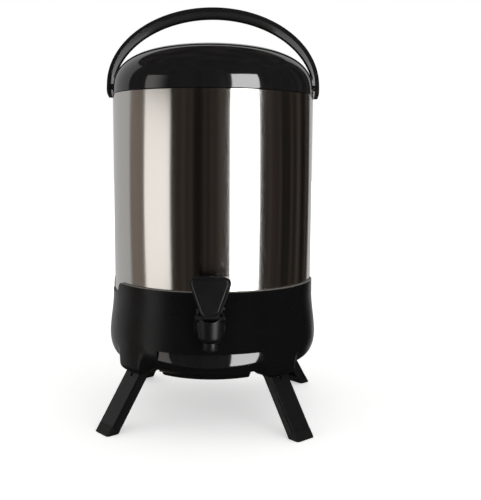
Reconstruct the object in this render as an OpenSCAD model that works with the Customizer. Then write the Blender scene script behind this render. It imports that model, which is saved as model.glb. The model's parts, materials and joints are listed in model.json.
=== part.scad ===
// Insulated drink dispenser: a steel barrel under a domed lid with a bail, on a base with
// folding legs, with a lever tap at the front.
// Frame: origin on the floor under the barrel's axis, +Z up, the tap faces -Y.

/* [Barrel] */
// Outer diameter of the steel shell
barrel_d = 240; // [228:1:260]
// Steel sheet of the shell and the liner
sheet_t = 0.8; // [0.5:0.1:1.2]
// Foam between the shell and the liner at the side
foam_side_t = 18; // [15:0.5:22]
// Foam between the shell and the liner at the bottom
foam_floor_t = 10; // [6:0.5:14]
// Depth of the liner, from its floor to its rim
tank_depth = 268.5; // [220:0.5:320]
// Thickness of the neck collar's flange, which closes the foam at the top
collar_flange_t = 4; // [3:0.5:6]
// Height of the neck collar above the shell
neck_h = 13; // [12:0.5:18]
// Wall of the neck collar
neck_wall = 6; // [4:0.5:8]

/* [Lid] */
// Height of the dome above the seam
dome_h = 58; // [54:1:80]
// Squareness of the dome's outline, where 2 is a plain ellipse
dome_power = 2.7; // [2.4:0.1:3.4]
// Wall of the dome
dome_wall = 2.6; // [2:0.1:3.2]
// Gap between the shell's top edge and the dome
seam_gap = 0.5; // [0.3:0.1:1]
// How far the lid's plug reaches below the liner's rim
plug_dip = 8; // [4:1:16]
// Wall of the plug
plug_wall = 2.5; // [2:0.1:3.5]
// Thickness of the lid's gasket
gasket_t = 2; // [1.5:0.1:3]
// Diameter of the post that the dome turns on
post_d = 14; // [10:1:18]
// Angle that the dome turns to lock
lock_turn = 25; // [20:1:26]

/* [Bail] */
// Rise of the bail above its pivots
bail_rise = 96; // [90:1:115]
// Width of the strap, front to back
bail_w = 26; // [20:1:30]
// Thickness of the strap
bail_t = 5; // [5:0.5:8]
// Gap between the dome and the bail's arms
bail_gap = 1.5; // [1.5:0.1:4]
// Height of the bail's pivots above the seam
bail_pivot_h = 10; // [9:0.5:13]
// Length of the arms below the pivots
bail_tail = 11.5; // [8:0.5:12]
// Diameter of the bail's pins
bail_pin_d = 7; // [5:0.5:8]
// Angle that the bail leans back at rest
bail_lean = 14; // [0:1:20]

/* [Base] */
// Height of the base's underside above the floor
ground_clearance = 58.5; // [50:0.5:64]
// Depth of the pan under the skirt
pan_depth = 13.5; // [12:0.5:16]
// Height from the skirt's underside to the bottom of the shell
base_depth = 28; // [24:0.5:36]
// Height of the apron above the bottom of the shell
apron_h = 66; // [56:1:80]
// Wall of the apron at its top edge
apron_wall = 1.9; // [1.6:0.1:3]
// How much wider the base is at its lower edge than the apron is at its top
base_flare = 4.3; // [2:0.1:6]
// Rounding of the skirt's lower corner
corner_r = 12; // [8:0.5:14]
// Depth of the two grip notches in the skirt's rim
notch_depth = 14; // [8:1:20]
// Width of a grip notch at its bottom
notch_w = 50; // [40:1:60]
// Radius of the shoulders of a grip notch
notch_r = 13; // [6:1:13]
// Direction of the first grip notch, from the front; the other one is opposite
notch_azimuth = -77; // [-84:1:-70]
// Half of the angle that the front trim spans
trim_span = 28.5; // [24:0.5:32]
// Height of the front trim at its middle
trim_h = 16; // [10:0.5:16]
// How much lower the trim hangs at its middle than at its ends
trim_sag = 5; // [0:0.5:6]

/* [Legs] */
// Direction of the middle between the front legs; the four legs are a quarter turn apart
leg_turn = -4.5; // [-6:0.5:6]
// Angle of the legs from the vertical
leg_splay = 34; // [26:1:36]
// Width of a leg
leg_w = 25.4; // [20:0.2:26]
// Thickness of a leg
leg_t = 12; // [10:0.5:13]
// Distance of the leg hinges in from the face of the shell
hinge_inset = 11.5; // [8:0.5:13]
// Height of the leg hinges above the base's underside
hinge_h = 11.5; // [10.5:0.5:13]
// Diameter of the leg pins
leg_pin_d = 6; // [4:0.5:7]
// Radius of the posts over the legs
pod_r = 24.5; // [22:0.5:27]
// Wall of the rubber feet
foot_wall = 1; // [0.8:0.1:1.6]
// Height of the rubber feet
foot_h = 8; // [7.5:0.5:15]

/* [Tap] */
// Height of the tap's shank above the liner's floor
tap_h = 17; // [16:0.5:26]
// Diameter of the shank
shank_d = 22; // [18:1:22]
// Bore of the shank
inlet_d = 10; // [8:0.5:10]
// Outer diameter of the cup at its top
cup_d = 32; // [30:0.5:36]
// Height of the cup's rim above the lever's pin
cup_rise = 9.5; // [8:0.5:11]
// Outer diameter of the nozzle
nozzle_d = 17; // [14:0.5:18]
// Bore of the nozzle
nozzle_bore_d = 11; // [8:0.5:12]
// Length of the nozzle below the cup
nozzle_l = 9; // [6:0.5:14]
// Height of the paddle's top above the lever's pin
paddle_h = 45.5; // [36:0.5:56]
// Width of the paddle at its top
paddle_top_w = 47; // [34:1:50]
// Width of the paddle at its foot
paddle_foot_w = 20; // [16:0.5:21]
// Thickness of the paddle
paddle_t = 6; // [4:0.5:7]
// Lift of the valve
valve_lift = 6; // [4:0.5:6.5]
// Coils of the valve spring
spring_turns = 4; // [3:0.5:5]
// Wire of the valve spring
spring_wire_d = 0.9; // [0.6:0.1:1]

/* [Hidden] */
$fn = 96;
// Clearances: seated pieces, running pins, and pieces that pass each other
fit = 0.1;
run_fit = 0.06;
press_fit = 0.02;
pass_fit = 0.6;
eps = 0.01;
far = 400;

// Heights, from the floor up
skirt_floor_z = ground_clearance + pan_depth;
shell_floor_z = skirt_floor_z + base_depth;
liner_floor_z = shell_floor_z + sheet_t + foam_floor_t + sheet_t;
rim_z = liner_floor_z + tank_depth;
barrel_top_z = rim_z + collar_flange_t;
seam_z = barrel_top_z + seam_gap;
neck_top_z = barrel_top_z + neck_h;
apron_top_z = shell_floor_z + apron_h;
hinge_z = ground_clearance + hinge_h;

// Radii of the barrel
barrel_r = barrel_d / 2;
shell_in_r = barrel_r - sheet_t;
liner_out_r = shell_in_r - foam_side_t;
liner_r = liner_out_r - sheet_t;
neck_in_r = liner_r + 4;
neck_out_r = neck_in_r + neck_wall;
hinge_r = barrel_r - hinge_inset;

// Bayonet between the neck and the dome
lug_count = 4;
lug_angle = lock_turn;
lug_t = 3.5;
lug_reach = 4.6;
neck_lug_start = 45 - lug_angle / 2;
dome_lug_start = neck_lug_start + lug_angle + 1;
neck_lug_z = neck_top_z - 2 - lug_t;
dome_lug_z = seam_z + 1.5;
dome_lug_t = neck_lug_z - 1.2 - dome_lug_z;
dome_in_r = barrel_r - dome_wall;

// Lid plug
plug_flange_z = neck_top_z + gasket_t;
plug_top_z = plug_flange_z + plug_wall;
plug_floor_z = rim_z - plug_dip;
plug_r = liner_r - 2.5;
post_r = post_d / 2;
hub_r = post_r + 4;
vent_x = 0.45 * plug_r;
vent_r = 2.5;
vent_tube_r = vent_r + 3;
vent_stem_l = 12;
vent_cap_t = 1.6;
pivot_screw_r = 2.5;
pivot_washer_t = 1.5;
pivot_head_t = 3;
pivot_bite = 18;
post_floor_z = plug_floor_z + fit;
post_top_z = seam_z + dome_h - dome_wall / 2;
dome_steps = 24;

// Bail
bail_z = seam_z + bail_pivot_h;
arm_in_x = barrel_r + bail_gap;
arm_out_x = arm_in_x + bail_t;
bail_pin_r = bail_pin_d / 2;
pin_head_t = 2;
pin_head_r = bail_pin_r + 2.2;
pin_head_x = arm_out_x - 0.4 - pin_head_t;
bail_boss_r = bail_pin_r + 3;
bail_boss_x = neck_out_r + 0.8;
tail_round = 8;

// Skirt
apron_in_r = barrel_r + 0.2;
apron_r = apron_in_r + apron_wall;
bulge_r = apron_r + base_flare;
bulge_z = shell_floor_z - 2;
flare_z = apron_top_z - 18;
corner_x = bulge_r - 0.3 - corner_r;
corner_z = skirt_floor_z + corner_r;
skirt_wall = 5;
rim_edge = 0.8;
ledge_w = 8;
ledge_t = 3;
pan_seat_r = apron_in_r - 18.5;

// Front trim, a crescent let into the skirt
trim_t = 1.7;
trim_recess = 1.2;
trim_seat_r = bulge_r - trim_recess - trim_t;
trim_top_z = bulge_z - 1;
trim_mid_z = trim_top_z - trim_h;
trim_tilt = atan(trim_sag / (bulge_r * (1 - cos(trim_span))));

// Leg posts and slots
leg_azimuths = [for (i = [0 : 3]) leg_turn - 45 + 90 * i];
pod_c = bulge_r + 2 - pod_r;
pod_floor_z = hinge_z - 5.5;
pod_top_z = shell_floor_z + 10;
pod_round = 7;
leg_pin_r = leg_pin_d / 2;
barrel_hub_r = leg_t / 2 + 2;
slot_top_z = hinge_z + barrel_hub_r + pass_fit;
slot_w = leg_w + 2 * pass_fit;
foot_w = leg_w + 2 * foot_wall;
foot_t = leg_t + 2 * foot_wall;
stow_w = foot_w + 2;
stow_wall = 2;
stow_end_r = hinge_r - (hinge_z + foot_t / 2 * sin(leg_splay)) / cos(leg_splay) - 2;
stow_roof_z = max(slot_top_z, hinge_z + foot_t / 2 + 1.5);
stop_gap = 0.3;
leg_pin_l = leg_w + 15;
leg_pin_mouth = 20;
gusset_reach = 30;
gusset_t = 12;
gusset_c = hinge_r - 5;
gusset_tip_z = skirt_floor_z - 1.5;

// Base pan
pan_t = 2.5;
pan_flange_t = 3.5;
pan_flange_r = pan_seat_r + 7;
pan_r = pan_seat_r - 2;
pan_foot_r = pan_r - 10;
pan_step_w = 6;
pan_step_h = 3;
pan_hub_r = 13;
stud_r = 4;
nut_pocket_r = 10;
nut_pocket_z = ground_clearance + 8.5;
washer_t = 1.5;
nut_h = 6;
stud_floor_z = nut_pocket_z - washer_t - nut_h + 0.5;
pan_screw_r = 2;
pan_screw_c = pan_seat_r + 3;
pan_head_r = 3.2;
pan_head_t = 2;
pan_head_z = skirt_floor_z - pan_flange_t;
pan_screw_azimuths = [for (i = [0 : 3], side = [-22, 22]) leg_turn + 90 * i + side];

// Tap
tap_z = liner_floor_z + tap_h;
shank_r = shank_d / 2;
shank_hole_r = shank_r + 0.3;
pad_r = shank_r + 7.5;
pad_y = bulge_r - 0.2;
gasket_y = pad_y + 2;
flange_t = 4;
flange_r = shank_r + 6;
cup_r = cup_d / 2;
cup_wall = 3;
cup_foot_r = 7;
cup_y = gasket_y + cup_r - 2.5;
cup_floor_z = tap_z - 13;
seat_z = cup_floor_z + 3.5;
seal_h = 3.6;
chamber_r = cup_r - 7;
bonnet_z = seat_z + seal_h + valve_lift + spring_turns * spring_wire_d + 2;
bonnet_t = 3.5;
cup_in_r = cup_r - cup_wall;
nozzle_r = nozzle_d / 2;
nozzle_bore_r = nozzle_bore_d / 2;
nozzle_spigot_r = nozzle_r - 1.5;
nozzle_spigot_h = 2;
lever_y = cup_y + 7;
lever_z = bonnet_z + bonnet_t + 5.4;
cup_top_z = lever_z + cup_rise;
lever_pin_r = 2;
lever_hub_r = 4.2;
lever_hub_w = 2 * sqrt(pow(cup_in_r, 2) - pow(lever_y - cup_y, 2)) - 2 * pass_fit;
lever_boss_x = cup_r + 1.5;
scoop_r = cup_r - 3;
prong_l = 9.5;
prong_t = 2.4;
prong_gap = 3.4;
prong_w = 3;
stem_r = 2.5;
stem_bar_r = 1.6;
stem_bar_z = lever_z + prong_t / 2 + stem_bar_r + 0.6;
seal_r = nozzle_bore_r + 2;
nut_t = 8;
nut_r = shank_r + 6;
inner_gasket_t = 4;
shank_end_y = liner_r - inner_gasket_t - nut_t - 3;
paddle_round = 7;
paddle_rim = 2.4;
paddle_dish = 1.2;

BLACK_GLOSS = "#141414";
BLACK_SATIN = "#1d1d1e";
STEEL = "#c9c7c3";
RUBBER = "#242424";
FOAM = "#e8dfae";
SILICONE = "#d9d4cb";

// Shared shapes

// Points of an arc about a centre
function arc(c, r, a0, a1, n) = [for (i = [0 : n])
    let (a = a0 + (a1 - a0) * i / n)
    c + r * [cos(a), sin(a)]];

// Points of a superellipse's quarter, from its side to its top
function quarter(rx, ry, p, n) = [for (i = [0 : n])
    [rx * pow(cos(90 * i / n), 2 / p), ry * pow(sin(90 * i / n), 2 / p)]];

// Corners of a polygon, listed against the clock, replaced by arcs
function unit(v) = v / norm(v);
function rounded(p, r, n = 8) = [for (i = [0 : len(p) - 1]) let (
    a = unit(p[(i + len(p) - 1) % len(p)] - p[i]),
    b = unit(p[(i + 1) % len(p)] - p[i]),
    half = acos(a * b) / 2,
    c = p[i] + unit(a + b) * r[i] / sin(half),
    tangent = p[i] + a * r[i] / tan(half) - c,
    from = atan2(tangent[1], tangent[0]),
    sweep = 180 - 2 * half)
    each r[i] == 0 ? [p[i]] : arc(c, r[i], from, from + sweep, n)];

module tube(r_out, r_in, h) {
    difference() {
        cylinder(r = r_out, h = h);
        translate([0, 0, -1]) cylinder(r = r_in, h = h + 2);
    }
}

// A ring's sector between two heights, from a start angle about +X
module sector(r_in, r_out, z0, z1, start, angle) {
    rotate([0, 0, start]) rotate_extrude(angle = angle, $fn = 180)
        translate([r_in, z0]) square([r_out - r_in, z1 - z0]);
}

// Turns children that face the front to a direction from the front
module at_azimuth(a) {
    rotate([0, 0, a]) children();
}

// A cylinder that points to the front, from one distance from the axis to another
module front_rod(r, y0, y1, z) {
    translate([0, -y0, z]) rotate([90, 0, 0]) cylinder(r = r, h = y1 - y0);
}

// A cylinder along X, centred
module cross_rod(r, l) {
    rotate([0, 90, 0]) cylinder(r = r, h = l, center = true);
}

// An outline of distance from the axis and height, given a width across the front
module front_slab(points, w) {
    rotate([90, 0, -90]) translate([0, 0, -w / 2]) linear_extrude(w) polygon(points);
}

// Barrel

module shank_hole() {
    front_rod(shank_hole_r, liner_r / 2, far, tap_z);
}

module outer_shell() {
    color(STEEL) difference() {
        translate([0, 0, shell_floor_z]) cylinder(r = barrel_r, h = barrel_top_z - shell_floor_z, $fn = 180);
        translate([0, 0, shell_floor_z + sheet_t]) cylinder(r = shell_in_r, h = far, $fn = 180);
        shank_hole();
    }
}

module foam_insulation() {
    color(FOAM) difference() {
        translate([0, 0, shell_floor_z + sheet_t + fit])
            cylinder(r = shell_in_r - fit, h = rim_z - sheet_t - fit - shell_floor_z - sheet_t - fit);
        translate([0, 0, liner_floor_z - sheet_t - fit]) cylinder(r = liner_out_r + fit, h = far);
        shank_hole();
    }
}

module inner_liner() {
    color(STEEL) difference() {
        union() {
            translate([0, 0, liner_floor_z - sheet_t]) cylinder(r = liner_out_r, h = tank_depth + sheet_t);
            translate([0, 0, rim_z - sheet_t]) cylinder(r = neck_out_r, h = sheet_t);
        }
        translate([0, 0, liner_floor_z]) cylinder(r = liner_r, h = far);
        shank_hole();
    }
}

module neck_collar() {
    color(BLACK_SATIN) {
        rotate_extrude() polygon([[liner_r, rim_z], [shell_in_r - fit, rim_z],
            [shell_in_r - fit, barrel_top_z], [neck_out_r, barrel_top_z], [neck_out_r, neck_top_z],
            [neck_in_r, neck_top_z], [neck_in_r, barrel_top_z], [liner_r, barrel_top_z]]);
        for (i = [0 : lug_count - 1])
            sector(neck_out_r - neck_wall / 4, neck_out_r + lug_reach, neck_lug_z, neck_lug_z + lug_t,
                neck_lug_start + 360 / lug_count * i, lug_angle);
    }
}

// Base

// Outline of the skirt's wall, from the inner edge of its underside outwards, up and back inside
skirt_outline = concat(
    [[pan_seat_r, skirt_floor_z]],
    arc([corner_x, corner_z], corner_r, -90, 0, 8),
    [[bulge_r, bulge_z], [apron_r, flare_z], [apron_r, apron_top_z - rim_edge],
     [apron_r - rim_edge, apron_top_z], [apron_in_r, apron_top_z], [apron_in_r, shell_floor_z],
     [apron_in_r - ledge_w, shell_floor_z], [apron_in_r - ledge_w, shell_floor_z - ledge_t],
     [corner_x + corner_r - skirt_wall, shell_floor_z - ledge_t]],
    arc([corner_x, corner_z], corner_r - skirt_wall, 0, -90, 6),
    [[pan_seat_r, skirt_floor_z + skirt_wall]]);

// Round post over a leg, with a rounded lower edge, clear of the barrel
module leg_pod() {
    difference() {
        translate([0, -pod_c, 0]) rotate_extrude() polygon(concat(
            [[0, pod_floor_z]],
            arc([pod_r - pod_round, pod_floor_z + pod_round], pod_round, -90, 0, 6),
            [[pod_r, pod_top_z], [0, pod_top_z]]));
        translate([0, 0, shell_floor_z - ledge_t / 2]) cylinder(r = apron_in_r + apron_wall / 4, h = far);
    }
}

// Web that braces a post along its hinge pin
module leg_gusset() {
    foot_x = pod_r - pod_round + 1;
    foot_z = pod_floor_z + 1;
    translate([0, -gusset_c, 0]) rotate([90, 0, 0]) linear_extrude(gusset_t, center = true)
        polygon([[-gusset_reach, gusset_tip_z], [-foot_x, foot_z], [foot_x, foot_z],
            [gusset_reach, gusset_tip_z], [gusset_reach, skirt_floor_z + 1],
            [-gusset_reach, skirt_floor_z + 1]]);
}

// Space that a leg needs in its post, with the leg's stop as its slanted outer wall
module leg_slot() {
    stop_r = hinge_r + (leg_t / 2 + stop_gap) / cos(leg_splay);
    hub_end_r = hinge_r + barrel_hub_r + pass_fit;
    bottom_z = pod_floor_z - barrel_hub_r;
    stop_top_z = hinge_z - (hub_end_r - stop_r) / tan(leg_splay);
    front_slab([[stow_end_r, bottom_z], [stop_r + (hinge_z - bottom_z) * tan(leg_splay), bottom_z],
        [hub_end_r, stop_top_z], [hub_end_r, slot_top_z], [stow_end_r, slot_top_z]], slot_w);
}

// Bore for a leg's pin, open on the flank that its pin is pushed in from
module leg_pin_bore(side) {
    translate([side * leg_pin_mouth / 2, -hinge_r, hinge_z])
        cross_rod(leg_pin_r + press_fit, leg_pin_l + leg_pin_mouth);
}

module grip_notch() {
    rotate([90, 0, 0]) linear_extrude(far) translate([0, apron_top_z]) {
        translate([-notch_w / 2, -notch_depth]) square([notch_w, 2 * notch_depth]);
        for (side = [-1, 1]) difference() {
            translate([side * (notch_w / 2 + notch_r / 2), 0])
                square([notch_r + eps, 2 * notch_r], center = true);
            translate([side * (notch_w / 2 + notch_r), -notch_r]) circle(r = notch_r);
        }
    }
}

// Room under the trim's sagging lower edge, which is cut by a plane that dips to the front
module below_trim(gap) {
    translate([0, -bulge_r, trim_mid_z - gap]) rotate([trim_tilt, 0, 0])
        translate([-far / 2, -far / 2, -far]) cube([far, far, far]);
}

module trim_ring(r_in, r_out, gap) {
    difference() {
        sector(r_in, r_out, trim_mid_z - trim_h, trim_top_z + gap,
            -90 - trim_span - gap, 2 * (trim_span + gap));
        below_trim(gap);
    }
}

module base_skirt() {
    color(BLACK_SATIN) difference() {
        union() {
            rotate_extrude($fn = 180) polygon(skirt_outline);
            for (a = leg_azimuths) at_azimuth(a) {
                leg_pod();
                leg_gusset();
            }
            front_rod(pad_r, apron_in_r + apron_wall / 2, pad_y, tap_z);
        }
        for (i = [0 : 3]) at_azimuth(leg_azimuths[i]) {
            leg_slot();
            leg_pin_bore(i % 2 == 0 ? -1 : 1);
        }
        for (a = [0, 180]) at_azimuth(a + notch_azimuth) grip_notch();
        for (a = pan_screw_azimuths) at_azimuth(a) translate([0, -pan_screw_c, skirt_floor_z - 1])
            cylinder(r = pan_screw_r + press_fit, h = skirt_wall);
        trim_ring(trim_seat_r, bulge_r + trim_t, fit);
        shank_hole();
    }
}

module front_trim() {
    color(BLACK_GLOSS) trim_ring(trim_seat_r + fit, bulge_r - trim_recess, 0);
}

// Channel that a folded leg lies in
module stow_channel() {
    inner = stow_end_r - stow_wall;
    outer = pan_foot_r + 2;
    floor_z = ground_clearance + pan_t / 2;
    roof_z = stow_roof_z + stow_wall;
    front_slab([[inner, floor_z], [outer, floor_z], [outer, roof_z], [inner, roof_z]],
        stow_w + 2 * stow_wall);
}

module base_pan() {
    color(BLACK_SATIN) difference() {
        union() {
            rotate_extrude() polygon([[0, ground_clearance], [pan_foot_r, ground_clearance],
                [pan_foot_r + pan_step_w, ground_clearance + pan_step_h],
                [pan_r, skirt_floor_z - pan_flange_t], [pan_flange_r, skirt_floor_z - pan_flange_t],
                [pan_flange_r, skirt_floor_z], [pan_r - pan_t, skirt_floor_z],
                [pan_foot_r + pan_step_w - 2, ground_clearance + pan_step_h + pan_t],
                [pan_foot_r, ground_clearance + pan_t], [0, ground_clearance + pan_t]]);
            for (a = leg_azimuths) at_azimuth(a) stow_channel();
            translate([0, 0, ground_clearance])
                cylinder(r = pan_hub_r, h = shell_floor_z - fit - ground_clearance);
        }
        for (a = leg_azimuths) at_azimuth(a) {
            front_slab([[stow_end_r, 0], [far, 0], [far, stow_roof_z], [stow_end_r, stow_roof_z]],
                stow_w);
            translate([0, -pod_c, 0]) cylinder(r = pod_r + fit, h = far);
            translate([0, -gusset_c, 0])
                cube([2 * gusset_reach + 1, gusset_t + 1, 2 * skirt_floor_z + 3], center = true);
        }
        cylinder(r = nut_pocket_r, h = nut_pocket_z);
        cylinder(r = stud_r + 0.3, h = far);
        for (a = pan_screw_azimuths) at_azimuth(a) translate([0, -pan_screw_c, 0]) {
            cylinder(r = pan_screw_r + press_fit, h = far);
            cylinder(r = pan_head_r + fit, h = pan_head_z + pan_head_t);
        }
    }
}

module base_stud() {
    color(STEEL) translate([0, 0, stud_floor_z]) cylinder(r = stud_r, h = shell_floor_z - stud_floor_z);
}

module base_washer() {
    color(STEEL) translate([0, 0, nut_pocket_z - washer_t]) tube(nut_pocket_r - 1, stud_r + fit, washer_t);
}

module base_nut() {
    color(STEEL) translate([0, 0, nut_pocket_z - washer_t - nut_h]) difference() {
        cylinder(r = nut_pocket_r - 2.5, h = nut_h, $fn = 6);
        translate([0, 0, -1]) cylinder(r = stud_r + press_fit, h = nut_h + 2);
    }
}

module pan_screws() {
    color(STEEL) for (a = pan_screw_azimuths) at_azimuth(a) translate([0, -pan_screw_c, pan_head_z]) {
        cylinder(r = pan_head_r, h = pan_head_t);
        cylinder(r = pan_screw_r, h = pan_flange_t + skirt_wall - 1.5);
    }
}

// Legs, drawn hanging straight down from the hinge and then splayed

module at_hinge(a) {
    at_azimuth(a) translate([0, -hinge_r, hinge_z]) rotate([-leg_splay, 0, 0]) children();
}

leg_l = hinge_z / cos(leg_splay);
sole_t = 1.5;
leg_end = leg_t / 2 * tan(leg_splay) + sole_t;
leg_wall = 3;
back_depth = 4;
groove_inset = 2.6;
groove_depth = 0.8;
groove_w = 1.2;
catch_w = 4;

module above_floor() {
    difference() {
        children();
        translate([-far, -far, -far]) cube([2 * far, 2 * far, far]);
    }
}

// Leg with a groove down each side, a small square hole near its top and a hollow back
module leg(a) {
    color(BLACK_SATIN) at_hinge(a) difference() {
        union() {
            translate([-leg_w / 2, -leg_t / 2, -leg_l + leg_end])
                cube([leg_w, leg_t, leg_l - leg_end]);
            cross_rod(barrel_hub_r, leg_w);
        }
        cross_rod(leg_pin_r + run_fit, leg_w + 2);
        for (side = [-1, 1]) translate([side * leg_w / 2, -leg_t / 2 + groove_inset, -leg_l / 2 - 6])
            cube([2 * groove_depth, groove_w, leg_l - 24], center = true);
        translate([0, -leg_t / 2, -barrel_hub_r - 6]) cube(catch_w, center = true);
        translate([-leg_w / 2 + leg_wall, leg_t / 2 - back_depth, -leg_l + foot_h + 8])
            cube([leg_w - 2 * leg_wall, back_depth + 1, leg_l - foot_h - 24]);
    }
}

module foot(a) {
    color(RUBBER) above_floor() at_hinge(a) difference() {
        translate([-foot_w / 2, -foot_t / 2, -leg_l - foot_h]) cube([foot_w, foot_t, 2 * foot_h]);
        translate([-leg_w / 2 - press_fit, -leg_t / 2 - press_fit, -leg_l + leg_end])
            cube([leg_w + 2 * press_fit, leg_t + 2 * press_fit, leg_l]);
    }
}

module leg_pin(a) {
    color(STEEL) at_azimuth(a) translate([0, -hinge_r, hinge_z]) cross_rod(leg_pin_r, leg_pin_l - fit);
}

// Tap

module at_cup() {
    translate([0, -cup_y, 0]) children();
}

// Outside of the cup, cut flat where it meets the gasket
module cup_block() {
    difference() {
        at_cup() rotate_extrude() polygon(concat(
            [[0, cup_floor_z], [nozzle_r + 1.5, cup_floor_z]],
            arc([cup_r - cup_foot_r - 2, cup_floor_z + cup_foot_r + 1], cup_foot_r, -60, -10, 6),
            [[cup_r - 0.6, tap_z + 4], [cup_r, cup_top_z], [0, cup_top_z]]));
        translate([-far / 2, -gasket_y, 0]) cube(far);
    }
}

module tap_body() {
    color(BLACK_SATIN) difference() {
        union() {
            cup_block();
            front_rod(flange_r, gasket_y, gasket_y + flange_t, tap_z);
            front_rod(shank_r, shank_end_y, gasket_y + flange_t, tap_z);
            translate([0, -lever_y, lever_z]) cross_rod(lever_pin_r + 2, 2 * lever_boss_x);
        }
        at_cup() translate([0, 0, bonnet_z]) cylinder(r = cup_in_r, h = far);
        at_cup() translate([0, 0, seat_z]) cylinder(r = chamber_r, h = far);
        at_cup() translate([0, 0, cup_floor_z - 1]) {
            cylinder(r = nozzle_bore_r, h = far);
            cylinder(r = nozzle_spigot_r + press_fit, h = nozzle_spigot_h + 1 + fit);
        }
        front_rod(inlet_d / 2, 0, cup_y, tap_z);
        front_rod(scoop_r, cup_y + 2, cup_y + far, cup_top_z);
        translate([0, -lever_y, lever_z]) {
            cross_rod(lever_pin_r + press_fit, 2 * lever_boss_x + 2);
            cross_rod(lever_hub_r + pass_fit, lever_hub_w + 2 * pass_fit);
        }
    }
}

module tap_nozzle() {
    color(BLACK_SATIN) at_cup() difference() {
        union() {
            translate([0, 0, cup_floor_z - nozzle_l]) cylinder(r = nozzle_r, h = nozzle_l);
            translate([0, 0, cup_floor_z - 1]) cylinder(r = nozzle_spigot_r, h = nozzle_spigot_h + 1);
        }
        translate([0, 0, cup_floor_z - nozzle_l - 1]) cylinder(r = nozzle_bore_r, h = far);
    }
}

module tap_outer_gasket() {
    color(RUBBER) difference() {
        front_rod(flange_r, pad_y, gasket_y, tap_z);
        front_rod(shank_r + fit, 0, far, tap_z);
    }
}

module tap_inner_gasket() {
    color(SILICONE) intersection() {
        difference() {
            front_rod(nut_r - 1, liner_r - inner_gasket_t, barrel_r, tap_z);
            front_rod(shank_r + fit, 0, far, tap_z);
        }
        cylinder(r = liner_r - press_fit, h = far, $fn = 360);
    }
}

module tap_nut() {
    color(BLACK_SATIN) translate([0, -liner_r + inner_gasket_t + nut_t, tap_z]) rotate([90, 0, 0])
        difference() {
            cylinder(r = nut_r, h = nut_t, $fn = 6);
            translate([0, 0, -1]) cylinder(r = shank_r + press_fit, h = nut_t + 2);
        }
}

module tap_bonnet() {
    color(BLACK_SATIN) at_cup() translate([0, 0, bonnet_z + press_fit])
        tube(cup_in_r - press_fit, stem_r + run_fit, bonnet_t);
}

module lever_pin() {
    color(STEEL) translate([0, -lever_y, lever_z]) cross_rod(lever_pin_r, 2 * lever_boss_x - 1);
}

// Paddle's outline across and up from the pin, drawn in by a margin
function paddle_outline(inset) = rounded(
    [[-paddle_foot_w / 2 + inset, lever_hub_r + inset], [paddle_foot_w / 2 - inset, lever_hub_r + inset],
     [paddle_top_w / 2 - inset, paddle_h - inset], [-paddle_top_w / 2 + inset, paddle_h - inset]],
    [4, 4, paddle_round - inset / 2, paddle_round - inset / 2]);

module tap_lever() {
    color(BLACK_SATIN) translate([0, -lever_y, lever_z]) difference() {
        union() {
            rotate([90, 0, 0]) linear_extrude(paddle_t, center = true) polygon(paddle_outline(0));
            translate([-paddle_foot_w / 2 + 2, -paddle_t / 2 + 1, 0])
                cube([paddle_foot_w - 4, paddle_t - 2, lever_hub_r + 6]);
            cross_rod(lever_hub_r, lever_hub_w);
            for (side = [-1, 1]) translate([side * (prong_gap + prong_w / 2), prong_l / 2, 0])
                cube([prong_w, prong_l, prong_t], center = true);
        }
        translate([0, -paddle_t / 2, 0]) rotate([90, 0, 0])
            linear_extrude(2 * paddle_dish, center = true) polygon(paddle_outline(paddle_rim));
        cross_rod(lever_pin_r + run_fit, lever_hub_w + 2);
    }
}

module valve_stem() {
    color(STEEL) at_cup() {
        translate([0, 0, seat_z + 1]) cylinder(r = stem_r, h = stem_bar_z - seat_z - 1);
        translate([0, 0, stem_bar_z]) cross_rod(stem_bar_r, 2 * (prong_gap + prong_w));
    }
}

module valve_seal() {
    color(SILICONE) at_cup() translate([0, 0, seat_z + fit]) difference() {
        cylinder(r = seal_r, h = seal_h);
        translate([0, 0, 1 - fit - press_fit]) cylinder(r = stem_r + press_fit, h = seal_h);
    }
}

// Compression spring between the seal and the bonnet: one tube swept along a helix
spring_z0 = seat_z + fit + seal_h + spring_wire_d / 2 + fit;
spring_z1 = bonnet_z - spring_wire_d / 2 - fit;
spring_r = stem_r + 2;
spring_sides = 6;
spring_rings = 12;
spring_steps = ceil(spring_turns * spring_rings);

function spring_point(i, j) = let (
    a = 360 * i / spring_rings,
    b = 360 * j / spring_sides,
    r = spring_r + spring_wire_d / 2 * cos(b),
    z = spring_z0 + (spring_z1 - spring_z0) * i / spring_steps)
    [r * cos(a), r * sin(a), z + spring_wire_d / 2 * sin(b)];

module valve_spring() {
    last = spring_steps * spring_sides;
    color(STEEL) at_cup() polyhedron(
        [for (i = [0 : spring_steps], j = [0 : spring_sides - 1]) spring_point(i, j)],
        concat(
            [[for (j = [0 : spring_sides - 1]) j]],
            [for (i = [0 : spring_steps - 1], j = [0 : spring_sides - 1]) let (
                a = i * spring_sides + j, b = i * spring_sides + (j + 1) % spring_sides)
                each [[a, a + spring_sides, b], [b, a + spring_sides, b + spring_sides]]],
            [[for (j = [spring_sides - 1 : -1 : 0]) last + j]]));
}

// Lid

module lid_plug() {
    color(BLACK_SATIN) difference() {
        union() {
            rotate_extrude() polygon([[0, plug_floor_z], [plug_r, plug_floor_z], [plug_r, plug_flange_z],
                [neck_out_r, plug_flange_z], [neck_out_r, plug_top_z], [plug_r - plug_wall, plug_top_z],
                [plug_r - plug_wall, plug_floor_z + plug_wall], [0, plug_floor_z + plug_wall]]);
            translate([0, 0, plug_floor_z]) cylinder(r = hub_r, h = plug_top_z - plug_floor_z);
            translate([vent_x, 0, plug_floor_z]) cylinder(r = vent_tube_r, h = plug_top_z - plug_floor_z);
        }
        cylinder(r = post_r + run_fit, h = far * 2);
        translate([vent_x, 0, 0]) cylinder(r = vent_r, h = far * 2);
    }
}

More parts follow.
